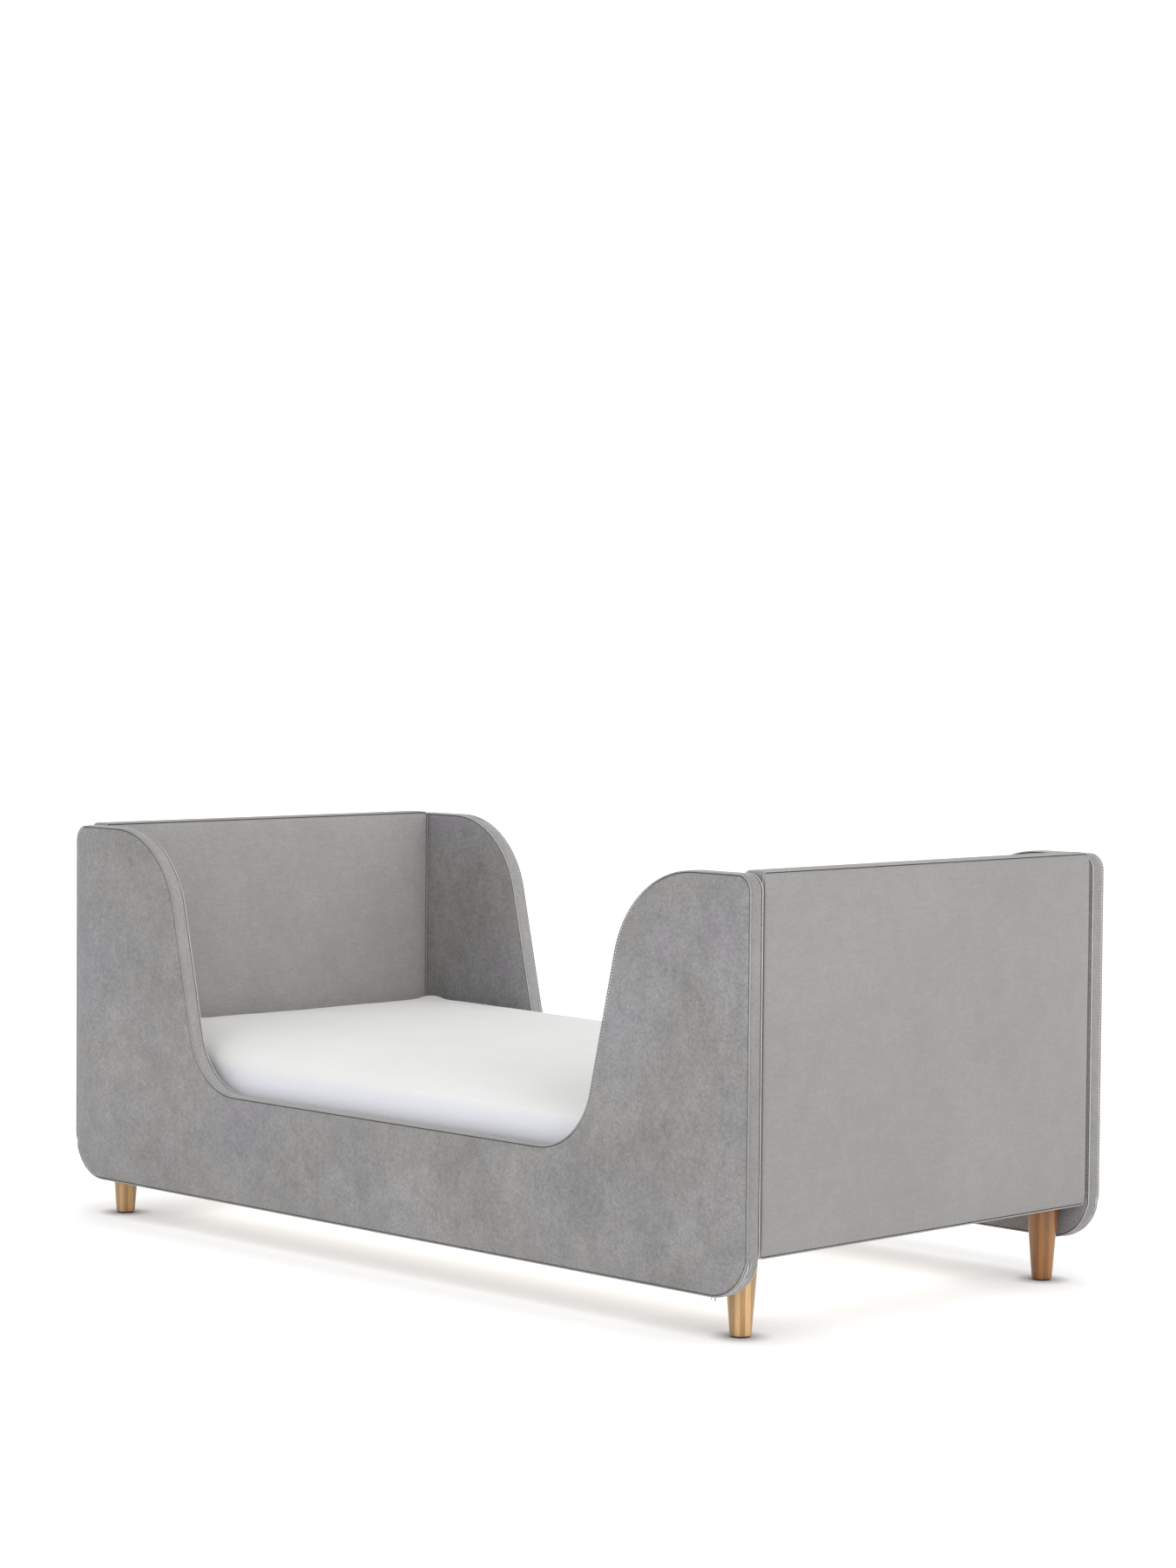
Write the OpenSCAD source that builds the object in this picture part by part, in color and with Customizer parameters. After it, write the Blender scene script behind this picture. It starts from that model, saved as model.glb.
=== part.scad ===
// Upholstered toddler bed: two long side panels with a low entry scoop, a headboard and a footboard
// between them, four turned legs, a slatted base and a 140 x 70 mattress.
// Lengths are in millimetres. X runs from the headboard to the footboard, the front is at -Y, and
// the floor is at Z = 0. A panel's depth is counted outwards from the middle of the bed.

/* [Side panels] */
// Length of a side panel
panel_l = 1510; // [1490:5:1600]
// Width across the outer seams of the two side panels
span_w = 756; // [746:1:850]
// Height of the side panels' top edge
side_top = 633; // [600:1:700]
// Height of the side panels' bottom edge
side_bottom = 60; // [40:1:80]
// Height of the rail that is left under the scoop
rail_top = 228; // [215:1:260]
// Width of the fabric band round a side panel's edge
side_band = 23; // [23:1:30]

/* [Scoop] */
// Distance from a panel's end to where its top edge starts to fall
shoulder_in = 107; // [90:1:140]
// Radius of the shoulder at the top of the scoop
shoulder_r = 155; // [120:1:165]
// Distance from a panel's end to where the scoop becomes level
foot_in = 411.5; // [395:0.5:450]
// Radius of the hollow at the foot of the scoop
foot_r = 110; // [90:1:120]

/* [Panel corners] */
// Radius of the side panels' bottom corners
low_corner_r = 70; // [40:1:80]
// Radius of the side panels' top corners
high_corner_r = 24; // [12:1:30]
// Radius of the headboard's and footboard's corners
end_corner_r = 8; // [5:1:20]

/* [Headboard and footboard] */
// Height of their top edge
end_top = 636; // [605:1:700]
// Height of their bottom edge
end_bottom = 115; // [115:1:130]
// Distance from the middle of the bed to their inner seam
end_inner = 714.4; // [709:0.2:718]
// Width of the fabric band round their edge
end_band = 37.3; // [37.3:0.1:42]
// Gap between their edge and a side panel's inner seam
end_gap = 5; // [5:1:10]

/* [Upholstery] */
// Thickness of the velvet with its backing
cloth_t = 1.5; // [1:0.1:1.8]
// How far the outer faces of the side panels stand proud of the seams
side_crown_out = 6; // [5:0.5:8]
// How far the inner faces of the side panels stand proud of the seams
side_crown_in = 4; // [3:0.5:4]
// How far the faces of the headboard and footboard stand proud of the seams
end_crown = 5; // [4:0.5:5]
// Thickness of the plywood core in a side panel
side_core_t = 15; // [12:1:15]
// Thickness of the board core in the headboard and footboard
end_core_t = 25; // [20:1:25]

/* [Legs] */
// Diameter of a leg at the floor
leg_d_low = 30; // [24:1:36]
// Diameter of a leg at its top
leg_d_high = 47; // [40:1:50]
// Distance from the middle of the bed to a leg's axis, along X
leg_x = 692.9; // [685:0.1:695]
// Distance from the middle of the bed to a leg's axis, along Y
leg_y = 324.3; // [318:0.1:326]
// Height of the felt glide under a leg
glide_h = 2; // [1:0.5:3]

/* [Base] */
// Number of slats
slat_count = 13; // [9:1:13]
// Width of a slat
slat_w = 65; // [50:1:70]
// Thickness of a slat
slat_t = 12; // [10:1:14]
// Height of the base's top surface, where the mattress lies
base_top = 203; // [201:1:206]
// Height of the wooden rails under the slats
ledger_h = 40; // [36:1:44]
// Width of the wooden rails under the slats
ledger_w = 25; // [22:1:28]
// Side of a corner block along X
block_l = 64; // [60:1:68]
// Side of a corner block along Y
block_w = 60; // [58:1:64]

/* [Mattress] */
// Length of the mattress with its sheet
mattress_l = 1396; // [1380:1:1398]
// Width of the mattress with its sheet
mattress_w = 696; // [680:1:696]
// Thickness of the mattress with its sheet
mattress_t = 99.6; // [80:0.2:120]
// Radius of the mattress's upright corners
mattress_r = 40; // [35:1:60]
// Thickness of the sheet
sheet_t = 1.2; // [0.8:0.1:1.5]
// How far the sheet's hem reaches under the mattress
sheet_hem = 60; // [40:5:100]

/* [Hidden] */
$fn = 48;
SLATS = [for (i = [1 : slat_count]) str("slat_", i < 10 ? "0" : "", i)];
SIDES = ["front", "rear"];
ENDS = ["headboard", "footboard"];
LAYERS = ["core", "inner_pad", "outer_pad", "inner_cover", "outer_cover", "edge_band"];
LEGS = ["leg_front_left", "leg_front_right", "leg_rear_left", "leg_rear_right"];
BLOCKS = ["block_front_left", "block_front_right", "block_rear_left", "block_rear_right"];

// Quadrants in the order of LEGS and BLOCKS: the sign of X and of Y
CORNERS = [[-1, -1], [1, -1], [-1, 1], [1, 1]];

velvet = [0.50, 0.50, 0.53];
velvet_end = [0.58, 0.56, 0.57];
foam = [0.90, 0.87, 0.74];
plywood = [0.79, 0.66, 0.47];
pine = [0.86, 0.68, 0.42];
beech = [0.88, 0.67, 0.36];
zinc = [0.72, 0.73, 0.75];
linen = [0.95, 0.95, 0.96];
felt = [0.22, 0.21, 0.20];

// Side panel depths, outwards from the bed's middle plane
side_outer = span_w / 2;
side_inner = side_outer - side_band;
side_face_out = side_outer + side_crown_out;
side_face_in = side_inner - side_crown_in;
side_core_in = side_inner + 5;
side_core_out = side_core_in + side_core_t;

// Headboard and footboard depths, outwards from the bed's middle
end_outer = end_inner + end_band;
end_face_out = end_outer + end_crown;
end_face_in = end_inner - end_crown;
end_core_in = end_inner + 5.6;
end_core_out = end_core_in + end_core_t;
end_half_w = side_inner - end_gap;

// Base heights
ledger_top = base_top - slat_t;
ledger_low = ledger_top - ledger_h;
block_low = end_bottom - 1;
ledger_screw_z = ledger_low + 10;
slat_screw_y = side_face_in - ledger_w / 2;
slat_end_x = end_face_in - 5 - slat_w / 2;
slat_pitch = 2 * slat_end_x / (slat_count - 1);
slat_half_l = side_face_in - 4;
mattress_low = base_top + 0.4;

// Bolt places, as distances from a corner block's or a bracket's outer faces
block_bolt_x = end_face_in - 51.4;
block_bolt_y = side_face_in - 48;
block_bolt_z_side = [end_bottom + 15, end_bottom + 61];
block_bolt_z_end = [end_bottom + 29, end_bottom + 47];
bracket_t = 2.5;
bracket_l = 30;
bracket_low = base_top + 12;
bracket_h = 70;
bracket_bolt_in = 15;
bracket_bolt_z = [bracket_low + 17, bracket_low + bracket_h - 17];
bolt_r = 3;
screw_r = 2.5;
insert_r = 5.5;
slat_screw_r = 2;
leg_bolt_r = 4;
leg_insert_r = 6.5;
leg_insert_l = 18;

// Screws of the rails, and the depths at which bolts and screws end in the cores
ledger_screw_x = [120, 360, 600];
ledger_screw_y = [-200, 0, 200];
side_screw_end = side_core_out - 3;
end_screw_end = end_core_out - 5;
bolt_end_side = side_core_out - 2;
bolt_end_end = end_core_in + 20;

// Points on an arc about [x, z] from angle a to angle b, both ends included
function arc(x, z, r, a, b, steps) =
    [for (i = [0 : steps]) let (t = a + (b - a) * i / steps) [x + r * cos(t), z + r * sin(t)]];

// Angle of the scoop's straight flank from the vertical, where it touches both of its arcs
scoop_run = foot_in - shoulder_in;
scoop_fall = (side_top - shoulder_r) - (rail_top + foot_r);
flank = acos((shoulder_r + foot_r) / norm([scoop_run, scoop_fall])) - atan2(scoop_fall, scoop_run);

// Right half of a side panel's outline, moved inwards by e
function half_side(e) = concat(
    [[0, side_bottom + e]],
    arc(panel_l / 2 - low_corner_r, side_bottom + low_corner_r, low_corner_r - e, -90, 0, 8),
    arc(panel_l / 2 - high_corner_r, side_top - high_corner_r, high_corner_r - e, 0, 90, 5),
    arc(panel_l / 2 - shoulder_in, side_top - shoulder_r, shoulder_r - e, 90, 180 - flank, 14),
    arc(panel_l / 2 - foot_in, rail_top + foot_r, foot_r + e, -flank, -90, 12),
    [[0, rail_top - e]]
);

// A side panel seen from the front, moved inwards by e
module side_outline(e) {
    half = half_side(e);
    last = len(half) - 2;
    polygon(concat(half, [for (i = [last : -1 : 1]) [-half[i].x, half[i].y]]));
}

// A headboard or footboard seen from its end, moved inwards by e
module end_outline(e) {
    r = end_corner_r - e;
    y = end_half_w - end_corner_r;
    low = end_bottom + end_corner_r;
    high = end_top - end_corner_r;
    polygon(concat(
        arc(y, low, r, -90, 0, 5),
        arc(y, high, r, 0, 90, 5),
        arc(-y, high, r, 90, 180, 5),
        arc(-y, low, r, 180, 270, 5)
    ));
}

// Slab of the side outline between two depths, on the front side
module side_slab(e, from, to) {
    rotate([90, 0, 0]) translate([0, 0, from]) linear_extrude(to - from) side_outline(e);
}

// Slab of the end outline between two depths, at the foot end
module end_slab(e, from, to) {
    rotate([90, 0, 90]) translate([0, 0, from]) linear_extrude(to - from) end_outline(e);
}

// Round rod along Y on the front side, between two depths
module rod_y(x, z, r, from, to) {
    translate([x, -from, z]) rotate([90, 0, 0]) cylinder(h = to - from, r = r);
}

// Round rod along X at the foot end, between two depths
module rod_x(y, z, r, from, to) {
    translate([from, y, z]) rotate([0, 90, 0]) cylinder(h = to - from, r = r);
}

// Rods where bolts and screws go through a side panel: r_bolt is the radius of the block bolts' holes
module side_holes(from, to, r_bolt) {
    for (s = [-1, 1]) {
        for (z = block_bolt_z_side) rod_y(s * block_bolt_x, z, r_bolt, from, to);
        for (z = bracket_bolt_z) rod_y(s * (end_face_in - bracket_bolt_in), z, screw_r, from, to);
        for (x = ledger_screw_x) rod_y(s * x, ledger_screw_z, screw_r, from, to);
    }
}

// The same through a headboard or footboard
module end_holes(from, to, r_bolt) {
    for (s = [-1, 1]) {
        for (z = block_bolt_z_end) rod_x(s * block_bolt_y, z, r_bolt, from, to);
        for (z = bracket_bolt_z) rod_x(s * (side_face_in - bracket_bolt_in), z, screw_r, from, to);
    }
    for (y = ledger_screw_y) rod_x(y, ledger_screw_z, screw_r, from, to);
}

// One layer of a side panel, on the front side
module side_layer(layer) {
    if (layer == "core")
        color(plywood) difference() {
            side_slab(cloth_t, side_core_in, side_core_out);
            side_holes(side_core_in - 1, bolt_end_side, insert_r);
        }
    if (layer == "inner_pad")
        color(foam) difference() {
            side_slab(cloth_t, side_face_in + cloth_t, side_core_in);
            side_holes(side_face_in, side_core_in + 1, bolt_r);
        }
    if (layer == "outer_pad")
        color(foam) side_slab(cloth_t, side_core_out, side_face_out - cloth_t);
    if (layer == "inner_cover")
        color(velvet) difference() {
            side_slab(0, side_face_in, side_inner);
            side_slab(cloth_t, side_face_in + cloth_t, side_inner + 1);
            side_holes(side_face_in - 1, side_inner + 1, bolt_r);
        }
    if (layer == "outer_cover")
        color(velvet) difference() {
            side_slab(0, side_outer, side_face_out);
            side_slab(cloth_t, side_outer - 1, side_face_out - cloth_t);
        }
    if (layer == "edge_band")
        color(velvet) difference() {
            side_slab(0, side_inner, side_outer);
            side_slab(cloth_t, side_inner - 1, side_outer + 1);
        }
}

// One layer of the footboard
module end_layer(layer) {
    if (layer == "core")
        color(plywood) difference() {
            end_slab(cloth_t, end_core_in, end_core_out);
            end_holes(end_core_in - 1, bolt_end_end, insert_r);
        }
    if (layer == "inner_pad")
        color(foam) difference() {
            end_slab(cloth_t, end_face_in + cloth_t, end_core_in);
            end_holes(end_face_in, end_core_in + 1, bolt_r);
        }
    if (layer == "outer_pad")
        color(foam) end_slab(cloth_t, end_core_out, end_face_out - cloth_t);
    if (layer == "inner_cover")
        color(velvet_end) difference() {
            end_slab(0, end_face_in, end_inner);
            end_slab(cloth_t, end_face_in + cloth_t, end_inner + 1);
            end_holes(end_face_in - 1, end_inner + 1, bolt_r);
        }
    if (layer == "outer_cover")
        color(velvet_end) difference() {
            end_slab(0, end_outer, end_face_out);
            end_slab(cloth_t, end_outer - 1, end_face_out - cloth_t);
        }
    if (layer == "edge_band")
        color(velvet_end) difference() {
            end_slab(0, end_inner, end_outer);
            end_slab(cloth_t, end_inner - 1, end_outer + 1);
        }
}

module side_panel(side, layer) {
    mirror([0, side == "rear" ? 1 : 0, 0]) side_layer(layer);
}

module end_panel(end, layer) {
    mirror([end == "headboard" ? 1 : 0, 0, 0]) end_layer(layer);
}

// Puts a shape made for the +X, +Y quadrant in another quadrant
module in_corner(c) {
    mirror([c.x < 0 ? 1 : 0, 0, 0]) mirror([0, c.y < 0 ? 1 : 0, 0]) children();
}

// Puts a shape made for the +X, +Y quadrant in all four
module in_all_corners() {
    for (c = CORNERS) in_corner(c) children();
}

// Tapered leg with the pilot holes of its bolt and glide
module leg() {
    color(beech) difference() {
        translate([leg_x, leg_y, glide_h])
            cylinder(h = block_low - glide_h, r1 = leg_d_low / 2, r2 = leg_d_high / 2);
        translate([leg_x, leg_y, block_low - 35]) cylinder(h = 36, r = leg_bolt_r);
        translate([leg_x, leg_y, glide_h - 1]) cylinder(h = 13, r = 1.5);
    }
}

// Corner block that the leg and both panels are bolted to
module corner_block() {
    color(pine) difference() {
        translate([end_face_in - block_l, side_face_in - block_w, block_low])
            cube([block_l, block_w, ledger_top - block_low]);
        translate([leg_x, leg_y, block_low - 1]) cylinder(h = leg_insert_l + 1, r = leg_insert_r);
        translate([leg_x, leg_y, block_low]) cylinder(h = 38, r = leg_bolt_r);
        for (z = block_bolt_z_side)
            mirror([0, 1, 0]) rod_y(block_bolt_x, z, bolt_r, side_face_in - block_w - 1, side_face_in + 1);
        for (z = block_bolt_z_end)
            rod_x(block_bolt_y, z, bolt_r, end_face_in - block_l - 1, end_face_in + 1);
        translate([slat_end_x, slat_screw_y, ledger_top - 20]) cylinder(h = 21, r = slat_screw_r);
    }
}

// Long rail under the slats, on the front side
module side_ledger() {
    half = end_face_in - block_l - 2;
    color(pine) difference() {
        translate([-half, -side_face_in, ledger_low]) cube([2 * half, ledger_w, ledger_h]);
        for (s = [-1, 1]) for (x = ledger_screw_x)
            rod_y(s * x, ledger_screw_z, screw_r, side_face_in - ledger_w - 1, side_face_in + 1);
        for (i = [1 : slat_count - 2])
            translate([slat_x(i), -slat_screw_y, ledger_top - 20]) cylinder(h = 21, r = slat_screw_r);
    }
}

// Short rail under the last slat, at the foot end
module end_ledger() {
    half = side_face_in - block_w - 2;
    color(pine) difference() {
        translate([end_face_in - ledger_w, -half, ledger_low]) cube([ledger_w, 2 * half, ledger_h]);
        for (y = ledger_screw_y)
            rod_x(y, ledger_screw_z, screw_r, end_face_in - ledger_w - 1, end_face_in + 1);
    }
}

// Place of slat i along the bed, counted from 0 at the head
function slat_x(i) = -slat_end_x + i * slat_pitch;

// One slat with a counterbored screw hole at each end
module slat(i) {
    color(pine) difference() {
        translate([slat_x(i) - slat_w / 2, -slat_half_l, ledger_top])
            cube([slat_w, 2 * slat_half_l, slat_t]);
        for (s = [-1, 1]) translate([slat_x(i), s * slat_screw_y, ledger_top]) {
            translate([0, 0, -1]) cylinder(h = slat_t, r = slat_screw_r);
            translate([0, 0, slat_t - 3]) cylinder(h = 4, r = 4.3);
        }
    }
}

// Box with round upright corners, standing at height z
module round_box(l, w, r, z, h) {
    translate([0, 0, z]) linear_extrude(h) polygon(concat(
        arc(l / 2 - r, -w / 2 + r, r, -90, 0, 6),
        arc(l / 2 - r, w / 2 - r, r, 0, 90, 6),
        arc(-l / 2 + r, w / 2 - r, r, 90, 180, 6),
        arc(-l / 2 + r, -w / 2 + r, r, 180, 270, 6)
    ));
}

// Box of the mattress moved inwards by e on all sides
module mattress_body(e) {
    round_box(mattress_l - 2 * e, mattress_w - 2 * e, mattress_r - e, mattress_low + e, mattress_t - 2 * e);
}

module mattress_core() {
    color("ivory") mattress_body(sheet_t);
}

// Sheet that wraps the mattress and turns under it by the hem
module fitted_sheet() {
    hole_l = mattress_l - 2 * sheet_hem;
    hole_w = mattress_w - 2 * sheet_hem;
    color(linen) difference() {
        mattress_body(0);
        mattress_body(sheet_t);
        round_box(hole_l, hole_w, mattress_r, mattress_low - 1, sheet_t + 2);
    }
}

// Felt pads with the pins that hold them in the legs
module leg_glides() {
    color(felt) in_all_corners() translate([leg_x, leg_y, 0]) {
        cylinder(h = glide_h, r = leg_d_low / 2 - 2);
        translate([0, 0, glide_h - 0.5]) cylinder(h = 10.5, r = 1.5);
    }
}

// Double-ended bolts from the legs into the corner blocks
module leg_bolts() {
    color(zinc) in_all_corners() translate([leg_x, leg_y, block_low - 35])
        cylinder(h = 70, r = leg_bolt_r);
}

// Threaded bushes in the corner blocks for the leg bolts
module leg_inserts() {
    color(zinc) in_all_corners() translate([leg_x, leg_y, block_low]) difference() {
        cylinder(h = leg_insert_l, r = leg_insert_r);
        translate([0, 0, -1]) cylinder(h = leg_insert_l + 2, r = leg_bolt_r);
    }
}

// Steel angles that hold the panels together above the base
module corner_brackets() {
    color(zinc) in_all_corners() difference() {
        translate([end_face_in - bracket_l, side_face_in - bracket_l, bracket_low])
            cube([bracket_l, bracket_l, bracket_h]);
        translate([end_face_in - bracket_l - 1, side_face_in - bracket_l - 1, bracket_low - 1])
            cube([bracket_l + 1 - bracket_t, bracket_l + 1 - bracket_t, bracket_h + 2]);
        for (z = bracket_bolt_z) {
            mirror([0, 1, 0])
                rod_y(end_face_in - bracket_bolt_in, z, screw_r, side_face_in - 2 * bracket_t, side_face_in + 1);
            rod_x(side_face_in - bracket_bolt_in, z, screw_r, end_face_in - 2 * bracket_t, end_face_in + 1);
        }
    }
}

// Round-headed bolt along Y on the +Y side, its head's underside at depth seat
module bolt_y(x, z, r, head_r, head_h, seat, to) {
    mirror([0, 1, 0]) {
        rod_y(x, z, head_r, seat - head_h, seat);
        rod_y(x, z, r, seat - 0.5, to);
    }
}

// The same along X at the foot end
module bolt_x(y, z, r, head_r, head_h, seat, to) {
    rod_x(y, z, head_r, seat - head_h, seat);
    rod_x(y, z, r, seat - 0.5, to);
}

module bracket_bolts() {
    color(zinc) in_all_corners() for (z = bracket_bolt_z) {
        bolt_y(end_face_in - bracket_bolt_in, z, screw_r, 5, 3, side_face_in - bracket_t, side_screw_end);
        bolt_x(side_face_in - bracket_bolt_in, z, screw_r, 5, 3, end_face_in - bracket_t, end_screw_end);
    }
}

module block_bolts() {
    color(zinc) in_all_corners() {
        for (z = block_bolt_z_side)
            bolt_y(block_bolt_x, z, bolt_r, 6, 4, side_face_in - block_w, bolt_end_side);
        for (z = block_bolt_z_end)
            bolt_x(block_bolt_y, z, bolt_r, 6, 4, end_face_in - block_l, bolt_end_end);
    }
}

// Threaded bushes in the panel cores for the block bolts
module panel_inserts() {
    color("goldenrod") in_all_corners() {
        for (z = block_bolt_z_side) difference() {
            mirror([0, 1, 0]) rod_y(block_bolt_x, z, insert_r, side_core_in, bolt_end_side);
            mirror([0, 1, 0]) rod_y(block_bolt_x, z, bolt_r, side_core_in - 1, bolt_end_side + 1);
        }
        for (z = block_bolt_z_end) difference() {
            rod_x(block_bolt_y, z, insert_r, end_core_in, bolt_end_end);
            rod_x(block_bolt_y, z, bolt_r, end_core_in - 1, bolt_end_end + 1);
        }
    }
}

// Screws that hold the long and short rails to the panels
module ledger_screws() {
    color(zinc) {
        for (m = [0, 1]) mirror([0, m, 0]) for (s = [-1, 1]) for (x = ledger_screw_x)
            bolt_y(s * x, ledger_screw_z, screw_r, 5, 3, side_face_in - ledger_w, side_screw_end);
        for (m = [0, 1]) mirror([m, 0, 0]) for (y = ledger_screw_y)
            bolt_x(y, ledger_screw_z, screw_r, 5, 3, end_face_in - ledger_w, end_screw_end);
    }
}

// Screws that hold the slats down
module slat_screws() {
    color(zinc) for (i = [0 : slat_count - 1]) for (s = [-1, 1])
        translate([slat_x(i), s * slat_screw_y, ledger_top]) {
            translate([0, 0, -20]) cylinder(h = 20 + slat_t - 2.5, r = slat_screw_r);
            translate([0, 0, slat_t - 3]) cylinder(h = 2.6, r = 4);
        }
}

for (side = SIDES) for (layer = LAYERS)
    side_panel(side, layer);
for (end = ENDS) for (layer = LAYERS)
    end_panel(end, layer);
for (i = [0 : 3]) in_corner(CORNERS[i]) leg();
for (i = [0 : 3]) in_corner(CORNERS[i]) corner_block();
side_ledger();  // front_ledger
mirror([0, 1, 0]) side_ledger();  // rear_ledger
end_ledger();  // foot_ledger
mirror([1, 0, 0]) end_ledger();  // head_ledger
for (i = [0 : slat_count - 1]) slat(i);
mattress_core();
fitted_sheet();
leg_glides();
leg_bolts();
leg_inserts();
corner_brackets();
bracket_bolts();
panel_inserts();
block_bolts();
ledger_screws();
slat_screws();
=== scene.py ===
"""Upholstered toddler bed: velvet panels, mattress and sheet, legs, base and stage, built round the CAD frame.

Everything is in metres in the CAD frame: X along the bed, the front at -Y, the floor at Z = 0.
"""

import math  # noqa: E402

import bmesh  # noqa: E402
import bpy  # noqa: E402
import numpy as np  # noqa: E402
from bpy.props import FloatProperty, FloatVectorProperty, PointerProperty  # noqa: E402
from mathutils import Matrix, Vector, noise  # noqa: E402


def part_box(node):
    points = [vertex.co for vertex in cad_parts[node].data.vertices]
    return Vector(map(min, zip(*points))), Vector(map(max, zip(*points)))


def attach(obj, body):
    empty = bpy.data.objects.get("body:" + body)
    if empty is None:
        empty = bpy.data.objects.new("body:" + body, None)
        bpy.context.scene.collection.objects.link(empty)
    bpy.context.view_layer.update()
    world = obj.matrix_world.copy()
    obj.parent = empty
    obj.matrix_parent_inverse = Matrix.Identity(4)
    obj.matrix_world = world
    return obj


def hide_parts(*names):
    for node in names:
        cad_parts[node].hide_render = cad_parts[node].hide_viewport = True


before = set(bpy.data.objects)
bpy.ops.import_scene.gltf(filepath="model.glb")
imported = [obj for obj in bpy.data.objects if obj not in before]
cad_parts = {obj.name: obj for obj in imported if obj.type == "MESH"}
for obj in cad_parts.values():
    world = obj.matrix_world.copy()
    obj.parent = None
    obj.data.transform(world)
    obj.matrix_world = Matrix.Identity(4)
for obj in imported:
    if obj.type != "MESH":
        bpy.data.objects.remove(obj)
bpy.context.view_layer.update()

bl_info = {
    "name": "Toddler Bed Upholstery",
    "version": (1, 0, 0),
    "blender": (4, 5, 0),
    "location": "View3D > Sidebar > Toddler Bed",
    "description": "Builds the velvet, mattress, sheet, legs and stage of an upholstered toddler bed",
    "category": "Object",
}

MM = 0.001
BED = "bed"
MATTRESS = "mattress"
SIDES = {"front_panel": -1.0, "rear_panel": 1.0}
ENDS = {"headboard": -1.0, "footboard": 1.0}
LEGS = ("leg_front_left", "leg_front_right", "leg_rear_left", "leg_rear_right")
BLOCKS = ("block_front_left", "block_front_right", "block_rear_left", "block_rear_right")
LEDGERS = ("front_ledger", "rear_ledger", "head_ledger", "foot_ledger")
STEEL = ("leg_bolts", "leg_inserts", "corner_brackets", "bracket_bolts", "block_bolts", "ledger_screws", "slat_screws")


# ---------------------------------------------------------------- sizes and colours


class BedSizes(bpy.types.PropertyGroup):
    """Sizes that the upholsterer and the joiner would change"""

    shoulder_in: FloatProperty(
        name="Shoulder", default=0.107, unit="LENGTH",
        description="From a side panel's end to where its top starts to fall",
    )
    shoulder_r: FloatProperty(
        name="Shoulder radius", default=0.155, unit="LENGTH",
        description="Radius at the top of the scoop",
    )
    foot_in: FloatProperty(
        name="Scoop foot", default=0.4115, unit="LENGTH",
        description="From a side panel's end to where the scoop is level",
    )
    foot_r: FloatProperty(
        name="Foot radius", default=0.110, unit="LENGTH",
        description="Radius at the foot of the scoop",
    )
    rail_top: FloatProperty(
        name="Rail height", default=0.228, unit="LENGTH",
        description="Height of the rail under the scoop",
    )
    low_corner_r: FloatProperty(
        name="Low corners", default=0.070, unit="LENGTH",
        description="Radius of the side panels' low corners",
    )
    high_corner_r: FloatProperty(
        name="High corners", default=0.024, unit="LENGTH",
        description="Radius of the side panels' high corners",
    )
    end_corner_r: FloatProperty(
        name="End corners", default=0.008, unit="LENGTH",
        description="Radius of the headboard's corners",
    )
    wrap: FloatProperty(
        name="End wrap", default=0.003, unit="LENGTH",
        description="How far the faces of the headboard wrap round its edges",
    )
    cloth_t: FloatProperty(
        name="Velvet thickness", default=0.0012, unit="LENGTH",
        description="Thickness of the velvet",
    )
    stitch_pitch: FloatProperty(
        name="Stitch pitch", default=0.0044, unit="LENGTH",
        description="Length of a stitch with its gap",
    )
    mattress_r: FloatProperty(
        name="Mattress corners", default=0.040, unit="LENGTH",
        description="Radius of the mattress's upright corners",
    )


class BedColours(bpy.types.PropertyGroup):
    """Colours of the bed, as linear RGB"""

    velvet_side: FloatVectorProperty(
        name="Side velvet", default=(0.244, 0.240, 0.235), subtype="COLOR", size=3,
        description="Velvet of the side panels",
    )
    velvet_end: FloatVectorProperty(
        name="End velvet", default=(0.238, 0.233, 0.227), subtype="COLOR", size=3,
        description="Velvet of the headboard and footboard",
    )
    # Near black: the thread's own colour, and painted shade of the seam ditch that the stitches stand in.
    thread: FloatVectorProperty(
        name="Thread", default=(0.050, 0.049, 0.050), subtype="COLOR", size=3,
        description="Seam thread",
    )
    cotton: FloatVectorProperty(
        name="Cotton", default=(0.74, 0.735, 0.725), subtype="COLOR", size=3,
        description="Fitted sheet",
    )
    foam: FloatVectorProperty(
        name="Foam", default=(0.80, 0.74, 0.52), subtype="COLOR", size=3,
        description="Upholstery foam",
    )
    beech: FloatVectorProperty(
        name="Leg wood", default=(0.47, 0.285, 0.125), subtype="COLOR", size=3,
        description="Lacquered legs",
    )
    pine: FloatVectorProperty(
        name="Base wood", default=(0.66, 0.47, 0.26), subtype="COLOR", size=3,
        description="Slats and rails",
    )
    floor: FloatVectorProperty(
        name="Floor", default=(0.34, 0.34, 0.34), subtype="COLOR", size=3,
        description="Studio floor",
    )


def sizes():
    return bpy.context.scene.bed_sizes


def colours():
    return bpy.context.scene.bed_colours


# ---------------------------------------------------------------- node materials


WHITE = (1.0, 1.0, 1.0)
# Bluer tone of velvet that lies the other way
COOL_NAP = (0.24, 0.225, 0.28)
# Sockets of a Mix node that mixes colours
MIX_FACTOR, MIX_FIRST, MIX_SECOND, MIX_RESULT = 0, 6, 7, 2


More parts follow.
